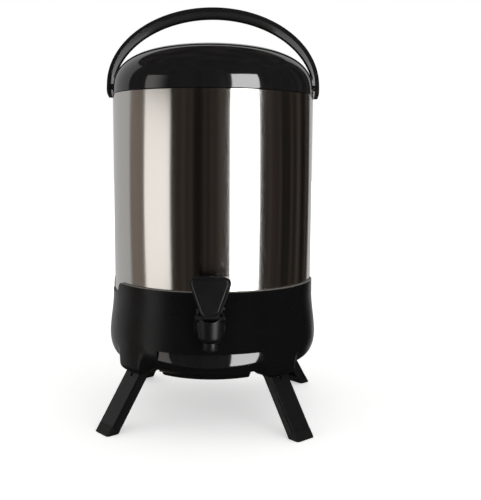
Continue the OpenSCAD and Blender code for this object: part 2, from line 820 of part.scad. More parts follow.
module lid_foam() {
    color(FOAM) difference() {
        translate([0, 0, plug_floor_z + plug_wall + fit])
            cylinder(r = plug_r - plug_wall - fit, h = plug_top_z - plug_floor_z - plug_wall - 2);
        cylinder(r = hub_r + fit, h = far * 2);
        translate([vent_x, 0, 0]) cylinder(r = vent_tube_r + fit, h = far * 2);
    }
}

module lid_gasket() {
    color(SILICONE) translate([0, 0, neck_top_z + press_fit])
        tube(neck_out_r - 0.5, neck_in_r + 0.5, gasket_t - press_fit);
}

module vent_valve() {
    color(SILICONE) translate([vent_x, 0, plug_top_z]) {
        translate([0, 0, -vent_stem_l]) cylinder(r = vent_r - 0.3, h = vent_stem_l + vent_cap_t);
        cylinder(r = vent_tube_r + 3, h = vent_cap_t);
    }
}

module lid_dome() {
    outer = quarter(barrel_r, dome_h, dome_power, dome_steps);
    inner = quarter(dome_in_r, dome_h - dome_wall, dome_power, dome_steps);
    color(BLACK_GLOSS) difference() {
        union() {
            translate([0, 0, seam_z]) rotate_extrude($fn = 180)
                polygon(concat(outer, [for (i = [dome_steps : -1 : 0]) inner[i]]));
            translate([0, 0, post_floor_z]) cylinder(r = post_r, h = post_top_z - post_floor_z);
            translate([0, 0, plug_top_z + fit]) cylinder(r = hub_r, h = post_top_z - plug_top_z - fit);
            for (i = [0 : lug_count - 1])
                sector(neck_out_r + pass_fit, dome_in_r + dome_wall / 2, dome_lug_z,
                    dome_lug_z + dome_lug_t, dome_lug_start + 360 / lug_count * i, lug_angle);
            for (side = [0, 180]) rotate([0, 0, side]) translate([bail_boss_x, 0, bail_z])
                rotate([0, 90, 0]) cylinder(r = bail_boss_r, h = barrel_r - dome_wall / 2 - bail_boss_x);
        }
        translate([0, 0, post_floor_z - 1]) cylinder(r = pivot_screw_r + press_fit, h = pivot_bite + 3);
        for (side = [0, 180]) rotate([0, 0, side]) translate([bail_boss_x - 1, 0, bail_z])
            rotate([0, 90, 0]) cylinder(r = bail_pin_r + press_fit, h = barrel_r);
    }
}

module pivot_washer() {
    color(STEEL) translate([0, 0, plug_floor_z - pivot_washer_t])
        tube(hub_r, pivot_screw_r + fit, pivot_washer_t - fit);
}

module pivot_screw() {
    color(STEEL) translate([0, 0, plug_floor_z - pivot_washer_t]) {
        translate([0, 0, -pivot_head_t]) cylinder(r = 2 * pivot_screw_r, h = pivot_head_t);
        cylinder(r = pivot_screw_r, h = pivot_washer_t + pivot_bite);
    }
}

module bail_pin(side) {
    tip_x = bail_boss_x + 0.5;
    color(STEEL) rotate([0, 0, side > 0 ? 0 : 180]) translate([0, 0, bail_z]) rotate([0, 90, 0]) {
        translate([0, 0, tip_x]) cylinder(r = bail_pin_r, h = pin_head_x + pin_head_t - tip_x);
        translate([0, 0, pin_head_x]) cylinder(r = pin_head_r, h = pin_head_t);
    }
}

// Strap's outline across and up from the pivots
bail_outline = concat(
    [[arm_in_x, -bail_tail], [arm_out_x, -bail_tail]],
    [for (i = [0 : 60]) [arm_out_x * cos(3 * i), bail_rise * sin(3 * i)]],
    [[-arm_out_x, -bail_tail], [-arm_in_x, -bail_tail]],
    [for (i = [60 : -1 : 0]) [arm_in_x * cos(3 * i), (bail_rise - bail_t) * sin(3 * i)]]);

module bail_handle() {
    color(BLACK_SATIN) translate([0, 0, bail_z]) rotate([-bail_lean, 0, 0]) difference() {
        intersection() {
            rotate([90, 0, 0]) linear_extrude(bail_w, center = true) polygon(bail_outline);
            rotate([90, 0, 90]) linear_extrude(4 * barrel_r, center = true) polygon(rounded(
                [[-bail_w / 2, -bail_tail], [bail_w / 2, -bail_tail], [bail_w / 2, bail_rise + 1],
                 [-bail_w / 2, bail_rise + 1]], [tail_round, tail_round, 0, 0]));
        }
        cross_rod(bail_pin_r + run_fit, far);
        for (side = [0, 180]) rotate([0, 0, side]) translate([pin_head_x - 0.2, 0, 0])
            rotate([0, 90, 0]) cylinder(r = pin_head_r + 0.3, h = 2 * bail_t);
    }
}

outer_shell();
foam_insulation();
inner_liner();
neck_collar();
base_skirt();
front_trim();
base_pan();
base_stud();
base_washer();
base_nut();
pan_screws();
leg(leg_azimuths[0]);  // front_left_leg
leg(leg_azimuths[1]);  // front_right_leg
leg(leg_azimuths[2]);  // rear_right_leg
leg(leg_azimuths[3]);  // rear_left_leg
foot(leg_azimuths[0]);  // front_left_foot
foot(leg_azimuths[1]);  // front_right_foot
foot(leg_azimuths[2]);  // rear_right_foot
foot(leg_azimuths[3]);  // rear_left_foot
leg_pin(leg_azimuths[0]);  // front_left_leg_pin
leg_pin(leg_azimuths[1]);  // front_right_leg_pin
leg_pin(leg_azimuths[2]);  // rear_right_leg_pin
leg_pin(leg_azimuths[3]);  // rear_left_leg_pin
tap_body();
tap_nozzle();
tap_outer_gasket();
tap_inner_gasket();
tap_nut();
tap_bonnet();
tap_lever();
lever_pin();
valve_stem();
valve_seal();
valve_spring();
lid_plug();
lid_foam();
lid_gasket();
vent_valve();
lid_dome();
pivot_washer();
pivot_screw();
bail_pin(-1);  // left_bail_pin
bail_pin(1);  // right_bail_pin
bail_handle();
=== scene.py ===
"""Dresses an insulated drink dispenser: steel barrel, domed lid with a bail, lever tap and folding legs."""

import json
import math

import bmesh
import bpy
from bpy.props import FloatProperty, IntProperty, PointerProperty, StringProperty
from mathutils import Matrix, Vector

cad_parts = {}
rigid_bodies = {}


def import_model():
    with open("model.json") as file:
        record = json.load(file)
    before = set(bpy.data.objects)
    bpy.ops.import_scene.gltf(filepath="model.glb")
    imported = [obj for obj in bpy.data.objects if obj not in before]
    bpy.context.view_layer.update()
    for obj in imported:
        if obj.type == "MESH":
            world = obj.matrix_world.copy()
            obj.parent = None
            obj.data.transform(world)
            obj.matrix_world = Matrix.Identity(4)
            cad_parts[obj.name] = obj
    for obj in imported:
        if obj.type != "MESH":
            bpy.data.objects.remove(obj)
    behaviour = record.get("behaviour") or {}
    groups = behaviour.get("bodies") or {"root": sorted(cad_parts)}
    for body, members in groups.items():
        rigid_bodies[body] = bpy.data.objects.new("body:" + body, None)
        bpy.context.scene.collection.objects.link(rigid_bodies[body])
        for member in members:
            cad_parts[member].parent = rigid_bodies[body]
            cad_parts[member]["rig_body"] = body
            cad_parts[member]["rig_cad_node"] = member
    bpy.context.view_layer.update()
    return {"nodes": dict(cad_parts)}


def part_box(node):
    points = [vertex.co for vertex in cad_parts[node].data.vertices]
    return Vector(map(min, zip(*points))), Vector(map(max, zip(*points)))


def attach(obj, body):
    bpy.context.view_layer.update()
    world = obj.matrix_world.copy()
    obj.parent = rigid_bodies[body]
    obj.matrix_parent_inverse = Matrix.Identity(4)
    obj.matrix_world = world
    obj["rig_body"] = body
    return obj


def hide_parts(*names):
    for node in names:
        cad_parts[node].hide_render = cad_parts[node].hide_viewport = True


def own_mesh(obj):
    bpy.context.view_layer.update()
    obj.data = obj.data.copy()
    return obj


bl_info = {
    "name": "Insulated drink dispenser",
    "version": (1, 0, 0),
    "blender": (4, 5, 0),
    "location": "View3D > Sidebar > Dispenser",
    "description": "Models and finishes the pieces of an insulated drink dispenser and its studio stage",
    "category": "Mesh",
}

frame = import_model()

MM = 0.001
DOUBLES = 0.002 * MM  # points nearer than this are one
SLIVER = 0.01 * MM  # faces thinner than this are merged

# Heights and radii of the solids, in millimetres
BARREL_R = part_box("outer_shell")[1].x / MM
SHELL_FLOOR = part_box("outer_shell")[0].z / MM
SHELL_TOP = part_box("outer_shell")[1].z / MM
SEAM = SHELL_TOP + 0.5
SHEET = 0.8
LINER_R = 100.4
LINER_FLOOR = 111.6
RIM = 380.1
NECK_IN, NECK_OUT, NECK_TOP = 104.4, 110.4, 397.1
PLUG_FLOOR, PLUG_TOP = 372.1, 401.6
VENT = (44.06, 0, 0)
BAIL_AXIS = (0, 0, 394.6)
BULGE_R, BULGE_Z = 126.4, 98
SKIRT_R, SKIRT_TOP = 122.1, 166
SKIRT_FLOOR, SKIRT_INNER = 72.0, 101.7
CORNER_OUT, CORNER_DOWN = 14, 26
CORNER_R = 112.4
HINGE_R, HINGE_Z = 108.5, 70.0
SPLAY = math.radians(34)
LEG_AZIMUTHS = {"front_left": -49.5, "front_right": 40.5, "rear_right": 130.5, "rear_left": 220.5}
NOTCH_AZIMUTHS = (-77, 103)
TAP_AXIS = (0, 0, 128.6)
CUP_Y = -141.7
CUP_AXIS = (0, CUP_Y, 0)
LEVER_PIN = (0, -148.7, 143.2)

# Directions that a round piece can be spun about: the way out from the axis, and the way along it
SPINDLES = {
    "up": (Vector((1, 0, 0)), Vector((0, 0, 1))),
    "front": (Vector((1, 0, 0)), Vector((0, -1, 0))),
    "right": (Vector((0, 0, 1)), Vector((1, 0, 0))),
    "left": (Vector((0, 0, 1)), Vector((-1, 0, 0))),
}


def length(label, text, value):
    """A length that a user may change, in millimetres."""
    return FloatProperty(name=label, description=text + ", in millimetres", default=value)


def colour(label, text, value):
    """A colour that a user may change, as an sRGB hex value."""
    return StringProperty(name=label, description="Colour of the " + text, default=value)


def light(label, text, value):
    """A strength of light that a user may change."""
    return FloatProperty(name=label, description=text, default=value)


class LidSizes(bpy.types.PropertyGroup):
    """Sizes of the lid that a user may change."""

    height: length("Dome height", "Height of the dome above the seam", 58.0)
    squareness: FloatProperty(
        name="Dome squareness", description="Power of the dome's outline; 2 is an ellipse", default=2.7)
    wall: length("Dome wall", "Wall of the dome", 2.6)


class BailSizes(bpy.types.PropertyGroup):
    """Sizes of the carrying bail that a user may change."""

    edge: length("Edge round", "Rounding of the strap's edges", 1.9)
    lean: FloatProperty(
        name="Lean", description="How far the bail leans back", default=math.radians(14), subtype="ANGLE")


class BaseSizes(bpy.types.PropertyGroup):
    """Sizes of the base that a user may change."""

    hump_half: length("Hump half width", "Half the width of a leg post", 24.0)
    hump_blend: length("Hump blend", "Softness of a post's flanks", 5.0)
    lip_blend: length("Lip blend", "Softness of the lip beside a post", 11.0)


class Finishes(bpy.types.PropertyGroup):
    """Colours of the finishes, as sRGB hex values."""

    steel: colour("Shell steel", "brushed stainless sheet", "#CCC9C5")
    liner: colour("Liner steel", "drawn stainless liner", "#C4C3C0")
    hardware: colour("Hardware", "pins and screws", "#CFCFCD")
    gloss: colour("Gloss black", "lid's and trim's polished ABS", "#1A1A1B")
    satin: colour("Satin black", "legs', bail's and collar's polypropylene", "#1B1B1C")
    base: colour("Base black", "base's polypropylene and the tap's acetal", "#111112")
    # Painted highlight: the skirt's rim shows a pale line where its rounded edge mirrors light, and this
    # colour paints that line
    edge_wear_and_rim_highlight: colour("Rubbed rim", "skirt's rubbed rim", "#6F6C69")
    rubber: colour("Rubber", "moulded rubber", "#1C1C1C")
    silicone: colour("Silicone", "moulded silicone", "#D9D3C8")
    foam: colour("Foam", "polyurethane foam", "#E3D59A")


class StageSettings(bpy.types.PropertyGroup):
    """Light of the studio stage."""

    left: light("Left softbox", "Brightness of the left softbox as seen in a mirror", 1.38)
    right: light("Right softbox", "Brightness of the right softbox as seen in a mirror", 11.0)
    left_lamp: light("Left lamp", "Light that the left softbox gives", 0.8)
    right_lamp: light("Right lamp", "Light that the right softbox gives", 1.6)
    ambient: light("Ambient", "Strength of the light from all around", 0.65)
    mirrored: light("Mirrored", "Brightness of the open room as seen in a mirror", 0.55)
    floor: colour("Floor", "floor", "#F4F4F3")
    fading_receivers: StringProperty(
        name="Fading softbox on", description="Pieces that mirror a left softbox that fades",
        default="lid_dome_shell base_skirt_moulding")
    right_receivers: StringProperty(
        name="Right softbox on", description="Pieces that mirror the right softbox",
        default="outer_shell_sheet lid_dome_shell bail_handle_strap left_bail_pin_stud right_bail_pin_stud "
                "front_trim_crescent tap_body_moulding tap_lever_paddle tap_nozzle_spout")


class DispenserSettings(bpy.types.PropertyGroup):
    """All the settings of the dispenser."""

    steps: IntProperty(name="Round steps", description="Faces round the barrel", default=256, min=64, max=512)
    lid: PointerProperty(type=LidSizes)
    bail: PointerProperty(type=BailSizes)
    base: PointerProperty(type=BaseSizes)
    finishes: PointerProperty(type=Finishes)
    stage: PointerProperty(type=StageSettings)


def settings():
    return bpy.context.scene.dispenser


# Modelling helpers; all their lengths are in millimetres


def select_none():
    """Leaves edit mode with nothing selected."""
    if bpy.context.mode != "OBJECT":
        bpy.ops.object.mode_set(mode="OBJECT")
    bpy.ops.object.select_all(action="DESELECT")


def only(piece):
    """Leaves edit mode and selects one piece alone."""
    select_none()
    piece.select_set(True)
    bpy.context.view_layer.objects.active = piece
    return piece


def edit(piece):
    """Goes into edit mode on one piece with all of it selected."""
    only(piece)
    bpy.ops.object.mode_set(mode="EDIT")
    bpy.ops.mesh.select_all(action="SELECT")


def pick(piece, kind, test):
    """In edit mode, selects the vertices, edges or faces whose middle passes a test."""
    bpy.ops.mesh.select_mode(type=kind)
    bpy.ops.mesh.select_all(action="DESELECT")
    mesh = bmesh.from_edit_mesh(piece.data)
    for item in {"VERT": mesh.verts, "EDGE": mesh.edges, "FACE": mesh.faces}[kind]:
        corners = [item] if kind == "VERT" else item.verts
        middle = sum((v.co for v in corners), Vector()) / len(corners)
        item.select_set(bool(test(middle / MM)))
    mesh.select_flush_mode()
    bmesh.update_edit_mesh(piece.data)


def primitive(name, add, **values):
    """A new primitive, selected alone."""
    select_none()
    add(**values)
    piece = bpy.context.object
    piece.name = piece.data.name = name
    return piece


def trace(name, points):
    """A new piece of edges that run from point to point, left in edit mode."""
    piece = primitive(name, bpy.ops.mesh.primitive_plane_add, size=MM)
    bpy.ops.object.mode_set(mode="EDIT")
    bpy.ops.mesh.select_mode(type="VERT")
    bpy.ops.mesh.merge(type="CENTER")
    here = Vector((0, 0, 0))
    for i, place in enumerate(points):
        step = Vector(place) * MM - here
        if i == 0:
            bpy.ops.transform.translate(value=step)
        else:
            bpy.ops.mesh.extrude_vertices_move(TRANSFORM_OT_translate={"value": step})
        here += step
    return piece


def merge_doubles():
    """Selects all of the mesh in edit mode and merges its doubles."""
    bpy.ops.mesh.select_all(action="SELECT")
    bpy.ops.mesh.remove_doubles(threshold=DOUBLES)


def close_mesh():
    """Merges doubles, closes open ends and turns the faces outwards."""
    merge_doubles()
    bpy.ops.mesh.delete_loose(use_verts=True, use_edges=True, use_faces=False)
    bpy.ops.mesh.select_all(action="SELECT")
    bpy.ops.mesh.fill_holes(sides=0)
    bpy.ops.mesh.select_all(action="SELECT")
    bpy.ops.mesh.normals_make_consistent(inside=False)


def lathe(name, profile, spindle="up", centre=(0, 0, 0), steps=96, start=0, sweep=360):
    """A piece spun from a closed outline of distances from the spindle and places along it."""
    out, along = SPINDLES[spindle]
    if start:
        out = Matrix.Rotation(math.radians(start), 3, along) @ out
    middle = Vector(centre)
    piece = trace(name, [middle + out * r + along * h for r, h in profile + profile[:1]])
    merge_doubles()
    bpy.ops.mesh.spin(steps=steps, angle=-math.radians(sweep), center=middle * MM, axis=along)
    close_mesh()
    return only(piece)


def slab(name, outline, depth):
    """A piece drawn out from a flat outline, left in edit mode."""
    piece = trace(name, outline + outline[:1])
    merge_doubles()
    bpy.ops.mesh.edge_face_add()
    bpy.ops.mesh.extrude_region_move(TRANSFORM_OT_translate={"value": Vector(depth) * MM})
    bpy.ops.mesh.select_all(action="SELECT")
    bpy.ops.mesh.normals_make_consistent(inside=False)
    return piece


def use_modifier(piece, kind, **values):
    """Adds a modifier with its values and applies it."""
    only(piece)
    bpy.ops.object.modifier_add(type=kind)
    modifier = piece.modifiers[-1]
    for key, value in values.items():
        setattr(modifier, key, value)
    bpy.ops.object.modifier_apply(modifier=modifier.name)
    return piece


def merge_slivers(piece):
    """Merges the slivers that a cut or a rounding leaves."""
    only(piece)
    bpy.ops.object.mode_set(mode="EDIT")
    bpy.ops.mesh.select_mode(type="VERT")
    bpy.ops.mesh.select_all(action="SELECT")
    bpy.ops.mesh.remove_doubles(threshold=SLIVER)
    bpy.ops.mesh.dissolve_degenerate(threshold=SLIVER)
    return only(piece)


def carve(piece, tool, operation="DIFFERENCE"):
    """Cuts a tool piece out of a piece, or welds it on."""
    use_modifier(piece, "BOOLEAN", operation=operation, solver="EXACT", object=tool)
    bpy.data.objects.remove(tool)
    return merge_slivers(piece)


def soften(piece, width, segments=3, angle=35):
    """Rounds the sharp edges."""
    use_modifier(piece, "BEVEL", width=width * MM, segments=segments, limit_method="ANGLE",
                 angle_limit=math.radians(angle), use_clamp_overlap=True, miter_outer="MITER_ARC")
    return merge_slivers(piece)


def mould(parts, voxel, passes=4, keep=0.4):
    """Melts parts that overlap into one moulded piece with small rounds at all its edges."""
    piece = parts[0]
    only(piece)
    for part in parts[1:]:
        part.select_set(True)
    if len(parts) > 1:
        bpy.ops.object.join()
    use_modifier(piece, "REMESH", mode="VOXEL", voxel_size=voxel * MM)
    use_modifier(piece, "SMOOTH", factor=0.5, iterations=passes)
    return use_modifier(piece, "DECIMATE", ratio=keep)


def copy_solid(name, node_name, edge=0.0, segments=2):
    """A copy of a CAD node, merged, with its edges rounded."""
    only(frame["nodes"][node_name])
    bpy.ops.object.duplicate(linked=False)
    piece = bpy.context.object
    piece.name = piece.data.name = name
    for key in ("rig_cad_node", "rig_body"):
        del piece[key]
    piece.parent = None
    edit(piece)
    merge_doubles()
    bpy.ops.mesh.dissolve_limited(angle_limit=math.radians(1))
    only(piece)
    return soften(piece, edge, segments) if edge else piece


def turn(piece, matrix):
    """Puts a piece in its place and applies it."""
    only(piece)
    piece.matrix_world = matrix
    bpy.ops.object.transform_apply(location=True, rotation=True, scale=True)
    return piece


def dress(piece, body, slot, *nodes, look=None, angle=30, flat_faces=False):
    """Smooths and finishes a piece, and lets it stand for its CAD nodes on a body."""
    only(piece)
    bpy.ops.object.shade_smooth_by_angle(angle=math.radians(angle))
    if flat_faces:
        use_modifier(piece, "WEIGHTED_NORMAL", weight=100, keep_sharp=True)
    paint(piece, look or slot)
    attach(piece, body)
    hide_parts(*nodes)
    return piece


def paint(piece, look):
    """Gives a piece one finish."""
    piece.data.materials.clear()
    piece.data.materials.append(finish(look))


# Materials


def linear(hex_value):
    """Linear RGBA of an sRGB hex value."""
    parts = [int(hex_value[i:i + 2], 16) / 255 for i in (1, 3, 5)]
    return [c / 12.92 if c <= 0.04045 else ((c + 0.055) / 1.055) ** 2.4 for c in parts] + [1.0]


def shade(tone, factor):
    """A colour made darker or lighter."""
    return [min(1, c * factor) for c in tone[:3]] + [1]


def node(tree, kind, values=None, links=None):
    """Adds a node, or takes one, sets its properties and sockets, and links its inputs to outputs."""
    made = tree.nodes.new(kind) if isinstance(kind, str) else kind
    for key, value in (values or {}).items():
        if isinstance(key, int) or key in made.inputs:
            made.inputs[key].default_value = value
        else:
            setattr(made, key, value)
    for key, (source, output) in (links or {}).items():
        tree.links.new(source.outputs[output], made.inputs[key])
    return made


def new_material(name):
    """A material with only its shader and output, and its texture coordinates."""
    material = bpy.data.materials.new(name)
    material.use_nodes = True
    tree = material.node_tree
    return material, tree, tree.nodes["Principled BSDF"], node(tree, "ShaderNodeTexCoord")


def per_mm(size):
    """Scale of a texture whose features are about so many millimetres across."""
    return 1.0 / (size * MM)


def noise(tree, vector, scale, detail, roughness=0.5):
    """Noise over the place that a node's output gives."""
    values = {"Scale": scale, "Detail": detail, "Roughness": roughness}
    return node(tree, "ShaderNodeTexNoise", values, {"Vector": vector})


def stretched(tree, place, across_mm, up_mm):
    """Coordinates of a pattern that is so many millimetres across and up."""
    scale = (per_mm(across_mm), per_mm(across_mm), per_mm(up_mm))
    return node(tree, "ShaderNodeMapping", {"Scale": scale}, {"Vector": (place, "Object")})


def ranged(tree, value, low, high, start=0.0, end=1.0):
    """Maps a node's output from one range to another."""
    values = {"From Min": start, "From Max": end, "To Min": low, "To Max": high}
    return node(tree, "ShaderNodeMapRange", values, {"Value": value})


def mixed(tree, factor, first, second):
    """Mixes two colours, each a fixed one or a node's output, by another node's output."""
    ends = {6: first, 7: second}
    fixed = {socket: end for socket, end in ends.items() if not isinstance(end, tuple)}
    linked = {socket: end for socket, end in ends.items() if isinstance(end, tuple)}
    return node(tree, "ShaderNodeMix", {"data_type": "RGBA", **fixed}, {0: factor, **linked})


def bumped(tree, height, strength, depth_mm):
    """Relief from a node's output."""
    return node(tree, "ShaderNodeBump", {"Strength": strength, "Distance": depth_mm * MM}, {"Height": height})


def brushed_stainless_sheet():
    """Stainless sheet brushed round the barrel: its grain runs level, so mirrored lights smear upright."""
    material, tree, shader, place = new_material("brushed_stainless_sheet")
    tone = linear(settings().finishes.steel)
    # Grain lines are 0.1 mm on the real sheet and drawn 0.6 mm high here so that they show
    grain = noise(tree, (stretched(tree, place, 60, 0.6), "Vector"), 1.0, 3.0, 0.6)
    cloud = noise(tree, (place, "Object"), per_mm(70), 2.0)
    tint = mixed(tree, (grain, "Fac"), shade(tone, 0.93), tone)
    rough = ranged(tree, (grain, "Fac"), 0.17, 0.185, 0.3, 0.7)
    smear = node(tree, "ShaderNodeMath", {"operation": "MULTIPLY_ADD", 1: 0.02},
                 {0: (cloud, "Fac"), 2: (rough, "Result")})
    lay = node(tree, "ShaderNodeTangent", {"direction_type": "RADIAL", "axis": "Z"})
    node(tree, shader, {"Metallic": 1.0, "Anisotropic": 0.93, "Anisotropic Rotation": 0.25},
         {"Base Color": (tint, 2), "Roughness": (smear, 0), "Tangent": (lay, "Tangent")})
    return material


def drawn_stainless(name, hex_value, ring_mm, roughness):
    """Drawn or turned stainless: faint rings round the axis from the tool, and a soft mirror."""
    material, tree, shader, place = new_material(name)
    tone = linear(hex_value)
    rings = noise(tree, (stretched(tree, place, 40, ring_mm), "Vector"), 1.0, 2.0)
    stain = noise(tree, (place, "Object"), per_mm(25), 3.0)
    tint = mixed(tree, (stain, "Fac"), shade(tone, 0.85), tone)
    rough = ranged(tree, (rings, "Fac"), roughness - 0.06, roughness + 0.08)
    bump = bumped(tree, (rings, "Fac"), 0.15, 0.03)
    node(tree, shader, {"Metallic": 1.0},
         {"Base Color": (tint, 2), "Roughness": (rough, "Result"), "Normal": (bump, "Normal")})
    return material


def moulded_plastic(name, hex_value, roughness, grain_mm, relief, ior=1.5, wear=0.006, shine=0.5, rim=None):
    """Moulded plastic: the tool's fine texture, gloss that changes from handling, paler edges where it wears,
    and, on a rim, a paler band that is a painted highlight.
    """
    material, tree, shader, place = new_material(name)
    tone = linear(hex_value)
    grain = noise(tree, (place, "Object"), per_mm(grain_mm), 2.0, 0.55)
    handling = noise(tree, (place, "Object"), per_mm(38), 4.0, 0.6)
    edges = node(tree, "ShaderNodeNewGeometry")
    # Real wear: sharp edges a little paler
    edge_wear_and_rim_highlight = ranged(tree, (edges, "Pointiness"), 0.0, 1.0, 0.53, 0.62)
    mottled = node(tree, "ShaderNodeMath", {"operation": "MULTIPLY"},
                   {0: (edge_wear_and_rim_highlight, "Result"), 1: (handling, "Fac")})
    body = mixed(tree, (handling, "Fac"), shade(tone, 0.8), shade(tone, 1.25))
    wear_and_rim_highlight = mixed(tree, (mottled, 0), (body, 2), [c + wear for c in tone[:3]] + [1])
    # Painted highlight: a pale band round the rim, between the two heights given, stands for the light that
    # the rim's rounded edge mirrors
    if rim:
        height = node(tree, "ShaderNodeSeparateXYZ", {}, {0: (place, "Object")})
        near_rim = ranged(tree, (height, "Z"), 0.0, 1.0, rim[0] * MM, rim[1] * MM)
        wear_and_rim_highlight = mixed(tree, (near_rim, "Result"), (wear_and_rim_highlight, 2), linear(settings().finishes.edge_wear_and_rim_highlight))
    rough = ranged(tree, (handling, "Fac"), roughness * 0.85, roughness * 1.2, 0.3, 0.7)
    bump = bumped(tree, (grain, "Fac"), relief, 0.05)
    node(tree, shader, {"IOR": ior, "Specular IOR Level": shine},
         {"Base Color": (wear_and_rim_highlight, 2), "Roughness": (rough, "Result"), "Normal": (bump, "Normal")})
    return material


def moulded_rubber(name, hex_value, roughness, speck_mm):
    """Moulded rubber or silicone: dull, slightly mottled, with a fine dusty grain."""
    material, tree, shader, place = new_material(name)
    tone = linear(hex_value)
    specks = noise(tree, (place, "Object"), per_mm(speck_mm), 3.0)
    bloom = noise(tree, (place, "Object"), per_mm(9), 3.0)
    tint = mixed(tree, (bloom, "Fac"), shade(tone, 0.8), shade(tone, 1.15))
    rough = ranged(tree, (specks, "Fac"), roughness - 0.1, min(1.0, roughness + 0.1))
    bump = bumped(tree, (specks, "Fac"), 0.3, 0.04)
    node(tree, shader, {"IOR": 1.45},
         {"Base Color": (tint, 2), "Roughness": (rough, "Result"), "Normal": (bump, "Normal")})
    return material


def polyurethane_foam():
    """Rigid poured foam: matt, with open cells about a millimetre across."""
    material, tree, shader, place = new_material("polyurethane_foam")
    tone = linear(settings().finishes.foam)
    cells = node(tree, "ShaderNodeTexVoronoi", {"Scale": per_mm(1.2)}, {"Vector": (place, "Object")})
    tint = mixed(tree, (cells, "Distance"), tone, shade(tone, 0.6))
    bump = bumped(tree, (cells, "Distance"), 0.6, 0.4)
    node(tree, shader, {"Roughness": 0.95}, {"Base Color": (tint, 2), "Normal": (bump, "Normal")})
    return material


FINISH_MAKERS = {
    "shell_steel": lambda c: brushed_stainless_sheet(),
    "liner_steel": lambda c: drawn_stainless("deep_drawn_stainless", c.liner, 4.0, 0.28),
    "hardware": lambda c: drawn_stainless("turned_stainless", c.hardware, 0.8, 0.22),
    "gloss_black": lambda c: moulded_plastic("polished_abs", c.gloss, 0.07, 6.0, 0.02, ior=1.54, wear=0.004),
    # The base's rim band carries the painted rim highlight
    "base_black": lambda c: moulded_plastic(
        "textured_polypropylene", c.base, 0.28, 0.7, 0.04, shine=0.16, rim=(164.7, 165.3)),
    "satin_black": lambda c: moulded_plastic("satin_polypropylene", c.satin, 0.4, 0.6, 0.08, shine=0.35),
    "bail_black": lambda c: moulded_plastic("polished_polypropylene", c.satin, 0.12, 0.6, 0.02),
    "tap_black": lambda c: moulded_plastic("acetal_tap", c.base, 0.34, 0.5, 0.05, shine=0.17),
    "foot_rubber": lambda c: moulded_rubber("moulded_rubber", c.rubber, 0.75, 0.5),
    "silicone": lambda c: moulded_rubber("moulded_silicone", c.silicone, 0.5, 0.6),
    "foam": lambda c: polyurethane_foam(),
}


def finish(look):
    """A finish's material, made once."""
    scene = bpy.context.scene
    key = "finish_" + look
    if key not in scene:
        scene[key] = FINISH_MAKERS[look](settings().finishes)
    return scene[key]


# Outlines: distances from an axis and places along it


def rod(r, low, high):
    """Outline of a plain rod or drill."""
    return [(0, low), (r, low), (r, high), (0, high)]


def pin_outline(r, low, high, edge):
    """Outline of a plain pin with broken ends."""
    return [(0, low), (r - edge, low), (r, low + edge), (r, high - edge), (r - edge, high), (0, high)]


def chamfered_ring(r_in, r_out, low, high, edge):
    """Outline of a ring with broken edges."""
    return [(r_in, low + edge), (r_in + edge, low), (r_out - edge, low), (r_out, low + edge),
            (r_out, high - edge), (r_out - edge, high), (r_in + edge, high), (r_in, high - edge)]


def arc(cx, cy, r, start, end, count):
    """Points of an arc in an outline."""
    angles = [math.radians(start + (end - start) * i / count) for i in range(count + 1)]
    return [(cx + r * math.cos(a), cy + r * math.sin(a)) for a in angles]


def dome_curve(r, h, power, count):
    """Half of the dome's outline, from its side to its top."""
    angles = [math.radians(90 * i / count) for i in range(count + 1)]
    return [(r * math.cos(a) ** (2 / power) if i < count else 0.0, SEAM + h * math.sin(a) ** (2 / power))
            for i, a in enumerate(angles)]


# Pieces


def shank_drill():
    """Tool for the hole that the tap's shank passes through."""
    return lathe("shank_drill", rod(11.3, 60, 140), "front", TAP_AXIS, 64)


